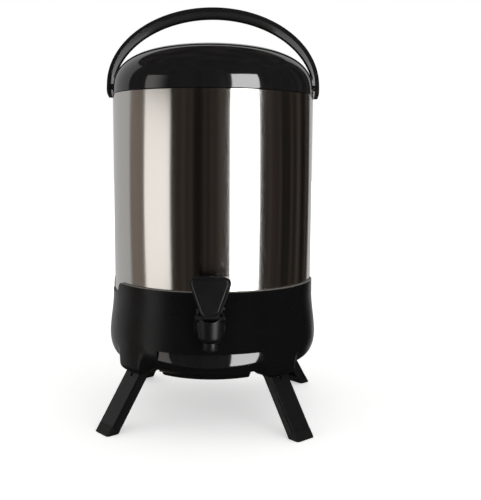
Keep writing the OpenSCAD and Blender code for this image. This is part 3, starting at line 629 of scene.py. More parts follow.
class DISPENSER_OT_barrel(bpy.types.Operator):
    """Models the steel shell, the liner, and the collar that the lid locks onto"""

    bl_idname = "dispenser.barrel"
    bl_label = "Barrel"

    def execute(self, context):
        self.shell()
        self.liner()
        self.collar()
        paint(frame["nodes"]["foam_insulation"], "foam")
        return {"FINISHED"}

    def shell(self):
        """The outer sheet, with a round lower corner and a rolled top edge."""
        inside, hem, roll = BARREL_R - SHEET, 0.4, 0.12
        shell = lathe("outer_shell_sheet", [
            (0, SHELL_FLOOR), (BARREL_R - 3, SHELL_FLOOR), (BARREL_R - 0.9, SHELL_FLOOR + 0.9),
            (BARREL_R, SHELL_FLOOR + 3), (BARREL_R, SHELL_TOP - hem), (BARREL_R - roll, SHELL_TOP - roll),
            (BARREL_R - hem, SHELL_TOP), (inside + roll, SHELL_TOP - roll), (inside, SHELL_TOP - hem),
            (inside, SHELL_FLOOR + 3.4), (BARREL_R - 1.5, SHELL_FLOOR + 1.6),
            (BARREL_R - 3.2, SHELL_FLOOR + SHEET), (0, SHELL_FLOOR + SHEET)], steps=settings().steps)
        carve(shell, shank_drill())
        dress(shell, "barrel", "shell_steel", "outer_shell")

    def liner(self):
        """The tub that holds the drink, with a round floor edge and a flange at its rim."""
        round_r = 6
        liner = lathe("inner_liner_tub", [(0, LINER_FLOOR)]
                      + arc(LINER_R - round_r, LINER_FLOOR + round_r, round_r, -90, 0, 8)
                      + [(LINER_R, RIM - SHEET), (LINER_R + 0.2, RIM - 0.2), (LINER_R + SHEET, RIM),
                         (NECK_OUT, RIM), (NECK_OUT, RIM - SHEET), (LINER_R + SHEET, RIM - SHEET)]
                      + arc(LINER_R - round_r, LINER_FLOOR + round_r, round_r + SHEET, 0, -90, 8)
                      + [(0, LINER_FLOOR - SHEET)], steps=192)
        carve(liner, shank_drill())
        dress(liner, "barrel", "liner_steel", "inner_liner")

    def collar(self):
        """The neck, with the four lugs that the lid locks onto."""
        seat, lug_low, lug_high = RIM + 0.05, 391.6, 395.1
        collar = lathe("neck_collar_ring", [
            (LINER_R, seat), (119.1, seat), (119.1, SHELL_TOP - 0.4), (118.7, SHELL_TOP),
            (NECK_OUT + 1.2, SHELL_TOP), (NECK_OUT + 0.3, SHELL_TOP + 0.4), (NECK_OUT, SHELL_TOP + 1.2),
            (NECK_OUT, NECK_TOP - 0.9), (NECK_OUT - 0.3, NECK_TOP - 0.2), (NECK_OUT - 0.9, NECK_TOP),
            (NECK_IN + 0.9, NECK_TOP), (NECK_IN + 0.3, NECK_TOP - 0.2), (NECK_IN, NECK_TOP - 0.9),
            (NECK_IN, SHELL_TOP + 1), (NECK_IN - 1, SHELL_TOP), (LINER_R + 0.8, SHELL_TOP),
            (LINER_R, SHELL_TOP - 0.8)], steps=192)
        for quarter in range(4):
            lug = lathe("neck_lug", chamfered_ring(NECK_OUT - 1.5, NECK_OUT + 4.6, lug_low, lug_high, 0.5),
                        steps=12, start=32.5 + 90 * quarter, sweep=25)
            carve(collar, soften(lug, 0.6, 2, 60), "UNION")
        dress(collar, "barrel", "satin_black", "neck_collar")


class DISPENSER_OT_lid(bpy.types.Operator):
    """Models the domed lid, its plug, gasket, vent and the screw that it turns on"""

    bl_idname = "dispenser.lid"
    bl_label = "Lid"

    def execute(self, context):
        self.dome()
        self.plug()
        self.pivot()
        paint(frame["nodes"]["lid_foam"], "foam")
        return {"FINISHED"}

    def dome(self):
        """The dome, its middle post, its four locking lugs and the bosses of the bail's pins."""
        lid = settings().lid
        lip, edge_r, crown = 0.8, BARREL_R - lid.wall, SEAM + lid.height - 1.5
        outer = dome_curve(BARREL_R, lid.height, lid.squareness, 60)
        inner = dome_curve(edge_r, lid.height - lid.wall, lid.squareness, 30)
        outer, inner = ([p for p in curve if p[1] > SEAM + lip] for curve in (outer, inner))
        dome = lathe("lid_dome_shell", [(edge_r, SEAM + lip), (edge_r + lip, SEAM)]
                     + arc(BARREL_R - lip, SEAM + lip, lip, -90, 0, 4) + outer + inner[::-1],
                     steps=settings().steps)
        post = lathe("lid_post", [
            (2.55, 372.2), (6.6, 372.2), (7, 372.6), (7, 401.7), (11, 401.7), (11, crown),
            (0, crown), (0, 392.4), (2.55, 392.4)], steps=48)
        carve(dome, post, "UNION")
        for quarter in range(4):
            lug = lathe("dome_lug", chamfered_ring(NECK_OUT + 0.6, BARREL_R - 1.3, SEAM + 1.5, 390.4, 0.4),
                        steps=12, start=58.5 + 90 * quarter, sweep=25)
            carve(dome, lug, "UNION")
        for way in ("left", "right"):
            boss = lathe("bail_boss", pin_outline(6.5, 111.2, BARREL_R - 1.3, 0.6), way, BAIL_AXIS, 48)
            carve(dome, boss, "UNION")
            carve(dome, lathe("bail_pin_drill", rod(3.53, 110, 130), way, BAIL_AXIS, 48))
        dress(dome, "dome", "gloss_black", "lid_dome")

    def plug(self):
        """The insulated plug, the gasket under its flange and the vent that lets air in."""
        floor, top, bore, core = PLUG_FLOOR, PLUG_TOP, 7.06, 11
        plug = lathe("lid_plug_cup", [(bore, floor + 0.3), (7.4, floor)]
                     + arc(91.9, floor + 6, 6, -90, 0, 6)
                     + [(97.9, 398.5), (98.5, 399.1), (110.1, 399.1), (NECK_OUT, 399.4),
                        (NECK_OUT, top - 0.3), (110.1, top), (95.8, top), (95.4, top - 0.4)]
                     + arc(91.4, floor + 6.5, 4, 0, -90, 5)
                     + [(11.8, floor + 2.5), (core, floor + 3.3), (core, top - 0.3), (10.7, top),
                        (7.4, top), (bore, top - 0.3)], steps=160)
        carve(plug, lathe("vent_tube", pin_outline(5.5, floor + 1, top, 0.3), "up", VENT, 40), "UNION")
        carve(plug, lathe("vent_drill", rod(2.5, 360, 410), "up", VENT, 40))
        dress(plug, "plug", "satin_black", "lid_plug")
        gasket = lathe("lid_gasket_ring", chamfered_ring(104.9, 109.9, NECK_TOP + 0.02, NECK_TOP + 2, 0.5),
                       steps=160)
        dress(gasket, "plug", "silicone", "lid_gasket")
        vent = lathe("vent_valve_umbrella", [
            (0, top - 12), (1.6, top - 12), (2.2, top - 11), (2.2, top), (8.2, top), (8.5, top + 0.3),
            (7.2, top + 0.9), (4.5, top + 1.4), (0, top + 1.6)], "up", VENT, 48)
        dress(vent, "plug", "silicone", "vent_valve")

    def pivot(self):
        """The screw and washer that the dome turns on."""
        washer = lathe("pivot_washer_disc", chamfered_ring(2.6, 11, 370.6, 372.0, 0.25), steps=64)
        dress(washer, "dome", "hardware", "pivot_washer")
        screw = lathe("pivot_screw_pan", [
            (0, 367.6), (2.6, 367.6), (4.1, 368.1), (4.9, 369.3), (5, 370.6), (2.5, 370.6), (2.5, 389.6),
            (2, 390.1), (0, 390.1)], steps=48)
        long, thin, below = 2.2, 0.45, 366
        for spin in (0, 90):
            blade = slab("screw_cross", [(-long, -thin, below), (long, -thin, below), (long, thin, below),
                                         (-long, thin, below)], (0, 0, 3))
            carve(screw, turn(blade, Matrix.Rotation(math.radians(spin), 4, "Z")))
        dress(screw, "dome", "hardware", "pivot_screw")


class DISPENSER_OT_bail(bpy.types.Operator):
    """Models the carrying bail and the pins that it swings on"""

    bl_idname = "dispenser.bail"
    bl_label = "Bail"

    def execute(self, context):
        bail = settings().bail
        thick, width, rise, tail, reach = 5.0, 26.0, 96.0, 11.5, 126.5
        tail_round, step = 8, 2.5
        mid_x, mid_rise = reach - thick / 2, rise - thick / 2
        arch = [(mid_x, -tail), (mid_x, -tail / 2)]
        for i in range(73):
            turned = math.radians(step * i)
            arch.append((mid_x * math.cos(turned), mid_rise * math.sin(turned)))
        arch += [(-mid_x, -tail / 2), (-mid_x, -tail)]
        strap = trace("bail_handle_strap", [(x, -width / 2, z) for x, z in arch])
        bpy.ops.mesh.select_all(action="SELECT")
        bpy.ops.mesh.extrude_region_move(TRANSFORM_OT_translate={"value": (0, width * MM, 0)})
        pick(strap, "VERT", lambda p: p.z < -tail + 0.1)
        bpy.ops.mesh.bevel(offset=tail_round * MM, segments=6, affect="VERTICES", clamp_overlap=False)
        use_modifier(strap, "SOLIDIFY", thickness=thick * MM, offset=0.0, use_even_offset=True)
        edit(strap)
        bpy.ops.mesh.normals_make_consistent(inside=False)
        soften(strap, bail.edge, 4, 50)
        # A shallow channel along the underside
        edit(strap)
        pick(strap, "FACE", lambda p: abs(p.y) < 1 and p.z > 12
             and math.hypot(p.x / mid_x, p.z / mid_rise) < 0.99)
        bpy.ops.mesh.inset(thickness=2.2 * MM, depth=-1.3 * MM)
        soften(strap, 0.6, 3, 60)
        for way in ("left", "right"):
            carve(strap, lathe("pin_drill", rod(3.56, 118, 130), way, (0, 0, 0), 48))
            sink = [(0, 123.9), (6, 123.9), (6.2, 130), (0, 130)]
            carve(strap, lathe("head_sink", sink, way, (0, 0, 0), 48))
        lean = Matrix.Translation(Vector(BAIL_AXIS) * MM) @ Matrix.Rotation(-bail.lean, 4, "X")
        dress(turn(strap, lean), "bail", "satin_black", "bail_handle", look="bail_black", flat_faces=True)
        for way in ("left", "right"):
            pin = lathe(way + "_bail_pin_stud", [
                (0, 111.7), (3.1, 111.7), (3.5, 112.1), (3.5, 124.1), (5.7, 124.1), (5.7, 125.4),
                (5.2, 125.9), (3.6, 126.1), (0, 126.1)], way, BAIL_AXIS, 48)
            dress(pin, "dome", "hardware", way + "_bail_pin")
        return {"FINISHED"}


def crescent(name, r_in, r_out, grow, lean=0.0):
    """The front trim's crescent: a curved bar with a sagging lower edge."""
    top, middle, sag, span = 97.0, 81.0, 5.0, 28.5
    below = middle - 8
    piece = lathe(name, [(r_in, below), (r_out, below), (r_out, middle), (r_out - lean, top + grow),
                         (r_in, top + grow)], steps=64, start=-90 - span - grow, sweep=2 * (span + grow))
    tilt = math.atan(sag / (BULGE_R * (1 - math.cos(math.radians(span)))))
    edit(piece)
    bpy.ops.mesh.bisect(plane_co=(0, -BULGE_R * MM, (middle - grow) * MM),
                        plane_no=(0, math.sin(tilt), -math.cos(tilt)), use_fill=True, clear_outer=True)
    close_mesh()
    return only(piece)


def skirt_wall(turned):
    """Place on the skirt's rounded lower corner, from 0 degrees at the bulge to 90 at the underside."""
    a = math.radians(turned)
    return CORNER_R + CORNER_OUT * math.cos(a), BULGE_Z - CORNER_DOWN * math.sin(a)


def ease(value):
    """A smooth step from 0 to 1."""
    value = min(1.0, max(0.0, value))
    return value * value * (3 - 2 * value)


def skirt_rows():
    """Outline of the skirt from the inner edge of its underside, outwards and up to its rim."""
    rows = [(SKIRT_INNER, SKIRT_FLOOR), (107.0, SKIRT_FLOOR)] + [skirt_wall(90 - 5 * i) for i in range(19)]
    draw_in, count = 50, 16
    for i in range(1, count + 1):
        rows.append((SKIRT_R + (BULGE_R - SKIRT_R) * (1 - ease(i / count)), BULGE_Z + draw_in * i / count))
    return rows + [(SKIRT_R, 157), (SKIRT_R, 164.8), (121.9, 165.6), (121.3, SKIRT_TOP)]


def shape_skirt(piece):
    """Draws the skirt's lower corner out and down to the leg posts, as humps that melt into it."""
    wall, floor, corner = 126.2, 64.5, 7.0
    near, on_wall, post_ring = 0.1, 0.3, 126
    base = settings().base
    straight = BULGE_Z - floor - corner
    mesh = bmesh.from_edit_mesh(piece.data)
    for vert in mesh.verts:
        x, y, z = vert.co / MM
        r = math.hypot(x, y)
        if z > BULGE_Z - near:
            continue
        turned = math.degrees(math.asin(min(1.0, (BULGE_Z - z) / CORNER_DOWN)))
        underside = z < SKIRT_FLOOR + near
        if not underside and abs(r - skirt_wall(turned)[0]) > on_wall:
            continue
        heading = math.degrees(math.atan2(x, -y))
        away = min(abs((heading - a + 180) % 360 - 180) for a in LEG_AZIMUTHS.values())
        side = post_ring * math.sin(math.radians(min(90, away)))
        run = (turned / 90) * (straight + corner * math.pi / 2)
        bend = max(0.0, run - straight) / corner
        post_r = wall - corner + corner * math.cos(bend)
        post_z = BULGE_Z - min(run, straight) - corner * math.sin(bend)
        if underside:
            stretch = (wall - corner - SKIRT_INNER) / (CORNER_R - SKIRT_INNER)
            post_r = SKIRT_INNER + (r - SKIRT_INNER) * stretch
            post_z = floor
        out = ease((base.hump_half + base.hump_blend - side) / (2 * base.hump_blend))
        down = ease((base.hump_half + base.lip_blend - side) / (2 * base.lip_blend))
        new_r = r + (post_r - r) * out
        vert.co = Vector((x * new_r / r, y * new_r / r, z + (post_z - z) * down)) * MM
    bmesh.update_edit_mesh(piece.data)


def at_leg(azimuth):
    """Turns what faces the front to a leg's direction."""
    return Matrix.Rotation(math.radians(azimuth), 4, "Z")


def on_hinge():
    """Leans what hangs from the origin to a standing leg's splay, at the front."""
    hinge = Matrix.Translation((0, -HINGE_R * MM, HINGE_Z * MM))
    return hinge @ Matrix.Rotation(-SPLAY, 4, "X")


class DISPENSER_OT_base(bpy.types.Operator):
    """Models the skirt, its front trim, the pan under it and their fasteners"""

    bl_idname = "dispenser.base"
    bl_label = "Base"

    def execute(self, context):
        self.skirt()
        trim = soften(crescent("front_trim_crescent", 123.6, 125.2, 0, 1.3), 0.35, 2, 40)
        dress(trim, "barrel", "gloss_black", "front_trim")
        pan = copy_solid("base_pan_moulding", "base_pan", 0.7, 2)
        dress(pan, "barrel", "base_black", "base_pan", flat_faces=True)
        for name, edge in (("base_stud", 0.5), ("base_washer", 0.3), ("base_nut", 0.5), ("pan_screws", 0.4)):
            dress(copy_solid(name + "_turned", name, edge, 2), "barrel", "hardware", name)
        return {"FINISHED"}

    def skirt(self):
        """The skirt, with its tap pad, leg posts and slots, grip notches and the trim's seat."""
        inside = [(120.9, SKIRT_TOP), (120.35, 165.7), (120.2, 165), (120.2, 100), (112.2, 100), (112.2, 97),
                  (120.3, 97)] + arc(114.1, 84, 7, 0, -90, 6) + [(SKIRT_INNER, 77)]
        skirt = lathe("base_skirt_moulding", skirt_rows() + inside, steps=360)
        bpy.ops.object.mode_set(mode="EDIT")
        shape_skirt(skirt)
        only(skirt)
        pad = lathe("tap_pad", [(0, 121.2), (18.5, 121.2), (18.5, 125.7), (18, 126.2), (0, 126.2)], "front",
                    TAP_AXIS, 64)
        carve(skirt, pad, "UNION")
        for i, azimuth in enumerate(LEG_AZIMUTHS.values()):
            self.leg_post(skirt, azimuth, "left" if i % 2 == 0 else "right")
        for azimuth in NOTCH_AZIMUTHS:
            carve(skirt, turn(self.notch(), at_leg(azimuth)))
        carve(skirt, crescent("trim_seat", 123.5, 135, 0.1))
        carve(skirt, shank_drill())
        dress(skirt, "barrel", "base_black", "base_skirt", angle=32)

    def leg_post(self, skirt, azimuth, way):
        """The post over a leg, its slot, which stops the leg at its splay, and its pin's bore."""
        half, start, slot_low, slot_high = 13.3, -16, 55, 78.6
        stop = HINGE_R + 6.3 / math.cos(SPLAY)
        flared, back = stop + (HINGE_Z - slot_low) * math.tan(SPLAY), HINGE_R + 8.6
        post = lathe("post_inside", [(0, 64.65)] + arc(14.4, 71.65, 7, -90, 0, 6) + [(21.4, 84), (0, 84)],
                     steps=64)
        carve(skirt, turn(post, at_leg(azimuth) @ Matrix.Translation((0, -103.9 * MM, 0))), "UNION")
        side = [(start, slot_low), (-flared, slot_low), (-stop, HINGE_Z), (-back, HINGE_Z),
                (-back, slot_high), (start, slot_high)]
        slot = slab("leg_slot", [(-half, y, z) for y, z in side], (2 * half, 0, 0))
        carve(skirt, turn(slot, at_leg(azimuth)))
        bore = lathe("leg_pin_drill", rod(3.03, -20.2, 40), way, (0, -HINGE_R, HINGE_Z), 40)
        carve(skirt, turn(bore, at_leg(azimuth)))

    def notch(self):
        """Tool for a grip notch in the rim, with round corners."""
        half, floor_half, deep, above, r = 38, 25, 14, 8, 13
        outline = [(-floor_half, -deep), (floor_half, -deep)]
        outline += [(half + x, z - r) for x, z in arc(0, 0, r, 180, 90, 8)]
        outline += [(half, above), (-half, above)]
        outline += [(x - half, z - r) for x, z in arc(0, 0, r, 90, 0, 8)]
        return slab("grip_notch", [(x, -100, z + SKIRT_TOP) for x, z in outline], (0, -40, 0))


class DISPENSER_OT_legs(bpy.types.Operator):
    """Models the folding legs, their rubber feet and their pins"""

    bl_idname = "dispenser.legs"
    bl_label = "Legs"

    def execute(self, context):
        for name, azimuth in LEG_AZIMUTHS.items():
            leg = copy_solid(name + "_leg_moulding", name + "_leg", 0.8, 3)
            dress(leg, name, "satin_black", name + "_leg", flat_faces=True)
            foot = turn(self.foot(name + "_foot_cap"), at_leg(azimuth))
            dress(foot, name, "foot_rubber", name + "_foot", flat_faces=True)
            pin = lathe(name + "_leg_pin_rod", pin_outline(3, -20.1, 20.1, 0.4), "right",
                        (0, -HINGE_R, HINGE_Z), 40)
            dress(turn(pin, at_leg(azimuth)), "barrel", "hardware", name + "_leg_pin")
        return {"FINISHED"}

    def foot(self, name):
        """A rubber cap with round corners, pushed over the leg's end and cut level with the floor."""
        half_w, half_t, reach = 13.7, 7.0, HINGE_Z / math.cos(SPLAY)
        fit_w, fit_t = 0.9275, 0.861
        corners = [(-half_w, -half_t), (half_w, -half_t), (half_w, half_t), (-half_w, half_t)]
        cap = slab(name, [(x, y, -reach - 8) for x, y in corners], (0, 0, 16))
        pick(cap, "EDGE", lambda p: abs(p.z + reach) < 0.1)
        bpy.ops.mesh.bevel(offset=3.2 * MM, segments=5, affect="EDGES")
        edit(turn(cap, on_hinge()))
        bpy.ops.mesh.bisect(plane_co=(0, 0, 0.02 * MM), plane_no=(0, 0, -1), use_fill=True, clear_outer=True)
        close_mesh()
        soften(cap, 1.1, 3, 40)
        pocket_floor = 6 * math.tan(SPLAY) + 1.5 - reach
        pocket = slab("foot_pocket", [(x * fit_w, y * fit_t, pocket_floor) for x, y in corners], (0, 0, 30))
        return carve(cap, turn(pocket, on_hinge()))


class DISPENSER_OT_tap(bpy.types.Operator):
    """Models the tap: body, nozzle, gaskets, nut, bonnet, paddle lever and valve"""

    bl_idname = "dispenser.tap"
    bl_label = "Tap"

    def execute(self, context):
        self.body()
        nozzle = lathe("tap_nozzle_spout", [
            (5.5, 107.1), (6, 106.6), (7.6, 106.6), (8.2, 106.9), (8.5, 107.6), (8.5, 115), (8.2, 115.5),
            (7, 115.6), (7, 117.3), (6.7, 117.6), (5.5, 117.6)], "up", CUP_AXIS, 80)
        dress(nozzle, "barrel", "tap_black", "tap_nozzle")
        gasket = lathe("tap_outer_gasket_ring", chamfered_ring(11.1, 16, 126.25, 128.15, 0.4), "front",
                       TAP_AXIS, 80)
        dress(gasket, "barrel", "foot_rubber", "tap_outer_gasket")
        saddle = copy_solid("tap_inner_gasket_saddle", "tap_inner_gasket")
        dress(saddle, "barrel", "silicone", "tap_inner_gasket")
        dress(copy_solid("tap_nut_hex", "tap_nut", 0.7, 2), "barrel", "tap_black", "tap_nut")
        disc = chamfered_ring(2.56, 12.98, 134.32, 137.82, 0.5)
        bonnet = lathe("tap_bonnet_disc", disc, "up", CUP_AXIS, 80)
        dress(bonnet, "barrel", "tap_black", "tap_bonnet")
        pin = lathe("lever_pin_rod", pin_outline(2, -16, 16, 0.4), "right", LEVER_PIN, 32)
        dress(pin, "barrel", "hardware", "lever_pin")
        self.lever()
        self.valve()
        return {"FINISHED"}

    def body(self):
        """The scooped cup, its flange and shank, and the bosses of the lever's pin."""
        cup = lathe("tap_body_moulding", [(0, 115.6)] + arc(6.9, 122.6, 7.0, -80, -8, 8)
                    + [(14.6, 130), (15.4, 140), (15.9, 152.7), (0, 152.7)], "up", CUP_AXIS, 96)
        flange = lathe("tap_flange", pin_outline(15.6, 128.25, 131.2, 0.8), "front", TAP_AXIS, 96)
        shank = lathe("tap_shank", pin_outline(11, 85.4, 130, 0.8), "front", TAP_AXIS, 64)
        bosses = lathe("lever_bosses", pin_outline(4, -16.3, 16.3, 1.4), "right", LEVER_PIN, 48)
        for part in (flange, shank, bosses):
            carve(cup, part, "UNION")
        # Valve chamber, seat, outlet and the nozzle's socket
        for r, low, high in ((13, 134.3, 170), (9, 119.1, 170), (5.5, 110, 170), (7.02, 110, 117.62)):
            carve(cup, lathe("cup_drill", rod(r, low, high), "up", CUP_AXIS, 96))
        carve(cup, lathe("inlet_drill", rod(6, 60, 136), "front", TAP_AXIS, 48))
        half, sag, tips = 12.6, 8.2, 147.9
        scoop = [(half, 160), (-half, 160)]
        scoop += [(half * x, tips + sag * z) for x, z in arc(0, 0, 1, 180, 360, 32)]
        carve(cup, slab("scoop_cutter", [(x, CUP_Y - 1, z) for x, z in scoop], (0, -40, 0)))
        carve(cup, lathe("hub_pocket", rod(3.4, -half, half), "right", LEVER_PIN, 48))
        carve(cup, lathe("pin_drill", rod(2.02, -20, 20), "right", LEVER_PIN, 32))
        dress(mould([cup], 0.28), "barrel", "tap_black", "tap_body", angle=60)

    def lever(self):
        """The paddle, dished at its front with a raised rim, its hub and the prongs that lift the stem."""
        foot, top, low, height, half = 9.5, 25.0, 0.3, 44.2, 3.0
        outline = [(-foot, half, low), (foot, half, low), (top, half, height), (-top, half, height)]
        paddle = slab("tap_lever_paddle", outline, (0, -2 * half, 0))
        pick(paddle, "EDGE", lambda p: abs(p.y) < 0.1 and p.z > height - 1)
        bpy.ops.mesh.bevel(offset=11 * MM, segments=10, affect="EDGES")
        pick(paddle, "EDGE", lambda p: abs(p.y) < 0.1 and p.z < low + 1)
        bpy.ops.mesh.bevel(offset=7 * MM, segments=8, affect="EDGES")
        pick(paddle, "FACE", lambda p: p.y < -half + 0.1)
        for thickness, depth in ((2.2, 0), (0.4, -0.9), (0.7, 0), (0.5, 0.5)):
            bpy.ops.mesh.inset(thickness=thickness * MM, depth=depth * MM)
        only(paddle)
        parts = [paddle, lathe("lever_hub", pin_outline(3.1, -12.2, 12.2, 0.4), "right", (0, 0, 0), 48)]
        apart, wide, thick = 4.9, 1.5, 1.2
        for middle in (-apart, apart):
            prong = slab("lever_prong", [(middle - wide, 0, -thick), (middle + wide, 0, -thick),
                                         (middle + wide, 0, thick), (middle - wide, 0, thick)], (0, 9.5, 0))
            parts.append(only(prong))
        lever = mould(parts, 0.3)
        carve(lever, lathe("lever_drill", rod(2.06, -14, 14), "right", (0, 0, 0), 40))
        turn(lever, Matrix.Translation(Vector(LEVER_PIN) * MM))
        dress(lever, "lever", "tap_black", "tap_lever", angle=60)

    def valve(self):
        """The stem with its cross bar, the seal and the wound spring between seal and bonnet."""
        stem = lathe("valve_stem_rod", pin_outline(2.5, 120.1, 146.5, 0.4), "up", CUP_AXIS, 40)
        bar = lathe("stem_bar", pin_outline(1.6, -6.4, 6.4, 0.3), "right", (0, CUP_Y, 146.6), 32)
        carve(stem, bar, "UNION")
        dress(stem, "valve", "hardware", "valve_stem")
        seal = lathe("valve_seal_cup", [
            (0, 119.2), (6.6, 119.2), (7.5, 120), (7.5, 122.3), (7, 122.8), (2.52, 122.8), (2.52, 120.1),
            (0, 120.1)], "up", CUP_AXIS, 56)
        dress(seal, "valve", "silicone", "valve_seal")
        low, high, wire, coil_r, turns = 123.35, 133.75, 0.45, 4.5, 4
        spring = primitive("valve_spring_coil", bpy.ops.mesh.primitive_circle_add, vertices=12,
                           radius=wire * MM, location=(coil_r * MM, 0, 0), rotation=(math.pi / 2, 0, 0))
        bpy.ops.object.transform_apply(location=True, rotation=True, scale=True)
        use_modifier(spring, "SCREW", angle=2 * math.pi * turns, screw_offset=(high - low) * MM, iterations=1,
                     steps=40 * turns, render_steps=40 * turns, axis="Z", use_merge_vertices=False)
        bpy.ops.object.mode_set(mode="EDIT")
        close_mesh()
        turn(spring, Matrix.Translation((0, CUP_Y * MM, low * MM)))
        dress(spring, "barrel", "hardware", "valve_spring")
        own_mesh(spring)


class DISPENSER_OT_stage(bpy.types.Operator):
    """Sets up the floor, the studio light, the dark cards that the gloss mirrors, and the camera"""

    bl_idname = "dispenser.stage"
    bl_label = "Stage"

    def execute(self, context):
        context.scene.view_settings.view_transform = "Standard"
        self.floor()
        self.world()
        stage = settings().stage
        warm, brown, white = (1.0, 0.98, 0.95), (1.0, 0.86, 0.76), (1.0, 1.0, 1.0)
        low, hard, soft = -0.6, 0.02, 0.75
        left = self.softbox("softbox_left", -63.0, 0.91, (low, 1.00), stage.left, warm, hard, stage.left_lamp)
        head = self.softbox("softbox_left_head", -61.6, 0.83, (low, 0.99), stage.left * 1.12, warm, soft)
        wing = self.softbox("softbox_left_wing", -90.5, 0.72, (low, 1.00), stage.left * 0.135, brown, hard)
        right = self.softbox("softbox_right", 36.0, 0.83, (low, 1.13), stage.right, white, hard,
                             stage.right_lamp)
        # The lid and base see a left softbox that fades; the base and legs are shaded from the right one
        self.flag(left, stage.fading_receivers, "EXCLUDE")
        self.flag(head, stage.fading_receivers, "INCLUDE")
        self.flag(wing, "lid_dome_shell", "EXCLUDE")
        self.flag(right, stage.right_receivers, "INCLUDE")
        self.dark_room()
        self.camera()
        return {"FINISHED"}

    def floor(self):
        """A pale floor: for the camera it is near white where it is lit, and it keeps the shadow; a painted
        glow, weaker near the barrel and stronger far out, adds to its light.
        """
        floor = primitive("stage_floor", bpy.ops.mesh.primitive_circle_add, vertices=96, radius=9,
                          fill_type="NGON")
        material, tree, shader, place = new_material("stage_floor_paper")
        tone = linear(settings().stage.floor)
        grain = noise(tree, (place, "Object"), per_mm(30), 2.0)
        tint = mixed(tree, (grain, "Fac"), shade(tone, 0.99), tone)
        path = node(tree, "ShaderNodeLightPath")
        away = node(tree, "ShaderNodeVectorMath", {"operation": "LENGTH"}, {0: (place, "Object")})
        # Painted light: a glow that only the camera sees, weaker near the barrel and stronger far out
        near, far, dim, bright = 0.3, 1.2, 0.46, 0.82
        fade = ranged(tree, (away, "Value"), dim, bright, near, far)
        seen = node(tree, "ShaderNodeMath", {"operation": "MULTIPLY"},
                    {0: (path, "Is Camera Ray"), 1: (fade, "Result")})
        node(tree, shader, {"Roughness": 0.9, "Specular IOR Level": 0.1, "Emission Color": (1, 1, 1, 1)},
             {"Base Color": (tint, 2), "Emission Strength": (seen, 0)})
        floor.data.materials.append(material)
        floor.visible_glossy = False

    def world(self):
        """Even light all round; the camera sees plain white, and mirrors a dimmer room."""
        world = bpy.data.worlds.new("stage_world")
        bpy.context.scene.world = world
        world.use_nodes = True
        tree = world.node_tree
        stage = settings().stage
        path = node(tree, "ShaderNodeLightPath")
        seen = node(tree, "ShaderNodeMath", {"operation": "MAXIMUM"},
                    {0: (path, "Is Camera Ray"), 1: (path, "Is Transmission Ray")})
        around = ranged(tree, (path, "Is Glossy Ray"), stage.ambient, stage.mirrored)
        level = node(tree, "ShaderNodeMapRange", {"To Max": 1.0},
                     {"Value": (seen, 0), "To Min": (around, "Result")})
        node(tree, tree.nodes["Background"], {"Color": (1, 1, 1, 1)}, {"Strength": (level, "Result")})

    def softbox(self, name, azimuth, width, span, level, tint, fade, lamp_level=0.0):
        """A softbox on a ring round the barrel: a front that only mirrors see, and a lamp for its light."""
        ring, (low, high) = 1.5, span
        place = Matrix.Translation((0, -ring, (low + high) / 2)) @ Matrix.Rotation(math.pi / 2, 4, "X")
        place = Matrix.Rotation(math.radians(azimuth), 4, "Z") @ place
        if lamp_level:
            lamp = bpy.data.lights.new(name, "AREA")
            lamp.shape = "RECTANGLE"
            lamp.size, lamp.size_y = width, high - low
            lamp.energy = lamp_level * math.pi * width * (high - low)
            lamp.color = tint
            box = bpy.data.objects.new(name, lamp)
            bpy.context.scene.collection.objects.link(box)
            box.matrix_world = place
            box.visible_camera = False
            box.visible_glossy = False
        front = primitive(name + "_front", bpy.ops.mesh.primitive_plane_add, size=1)
        turn(front, place @ Matrix.Diagonal((width, high - low, 1, 1)))
        material, tree, _, spot = new_material(name + "_cloth")
        across = node(tree, "ShaderNodeSeparateXYZ", {}, {0: (spot, "UV")})
        fall = ranged(tree, (across, "X"), 0.0, level, 1.0, 1.0 - fade)
        fall.interpolation_type = "SMOOTHSTEP"
        glow = node(tree, "ShaderNodeEmission", {"Color": list(tint) + [1.0]}, {"Strength": (fall, "Result")})
        # The cloth lets rays through, so that two fronts can hang in one place
        through = node(tree, "ShaderNodeBsdfTransparent")
        cloth = node(tree, "ShaderNodeAddShader", {}, {0: (glow, 0), 1: (through, 0)})
        node(tree, tree.nodes["Material Output"], {}, {"Surface": (cloth, 0)})
        self.only_mirrored(front, material)
        return front

    def flag(self, front, names, state):
        """Keeps a softbox's front off the named pieces, or off all others."""
        pieces = bpy.data.collections.new(front.name + "_flag")
        for name in names.split():
            pieces.objects.link(bpy.data.objects[name])
        for item in pieces.collection_objects:
            item.light_linking.link_state = state
        front.light_linking.receiver_collection = pieces

    def only_mirrored(self, card, material):
        """Leaves a card of the stage to mirrors alone."""
        card.data.materials.append(material)
        for ray in ("camera", "diffuse", "transmission", "volume_scatter", "shadow"):
            setattr(card, "visible_" + ray, False)

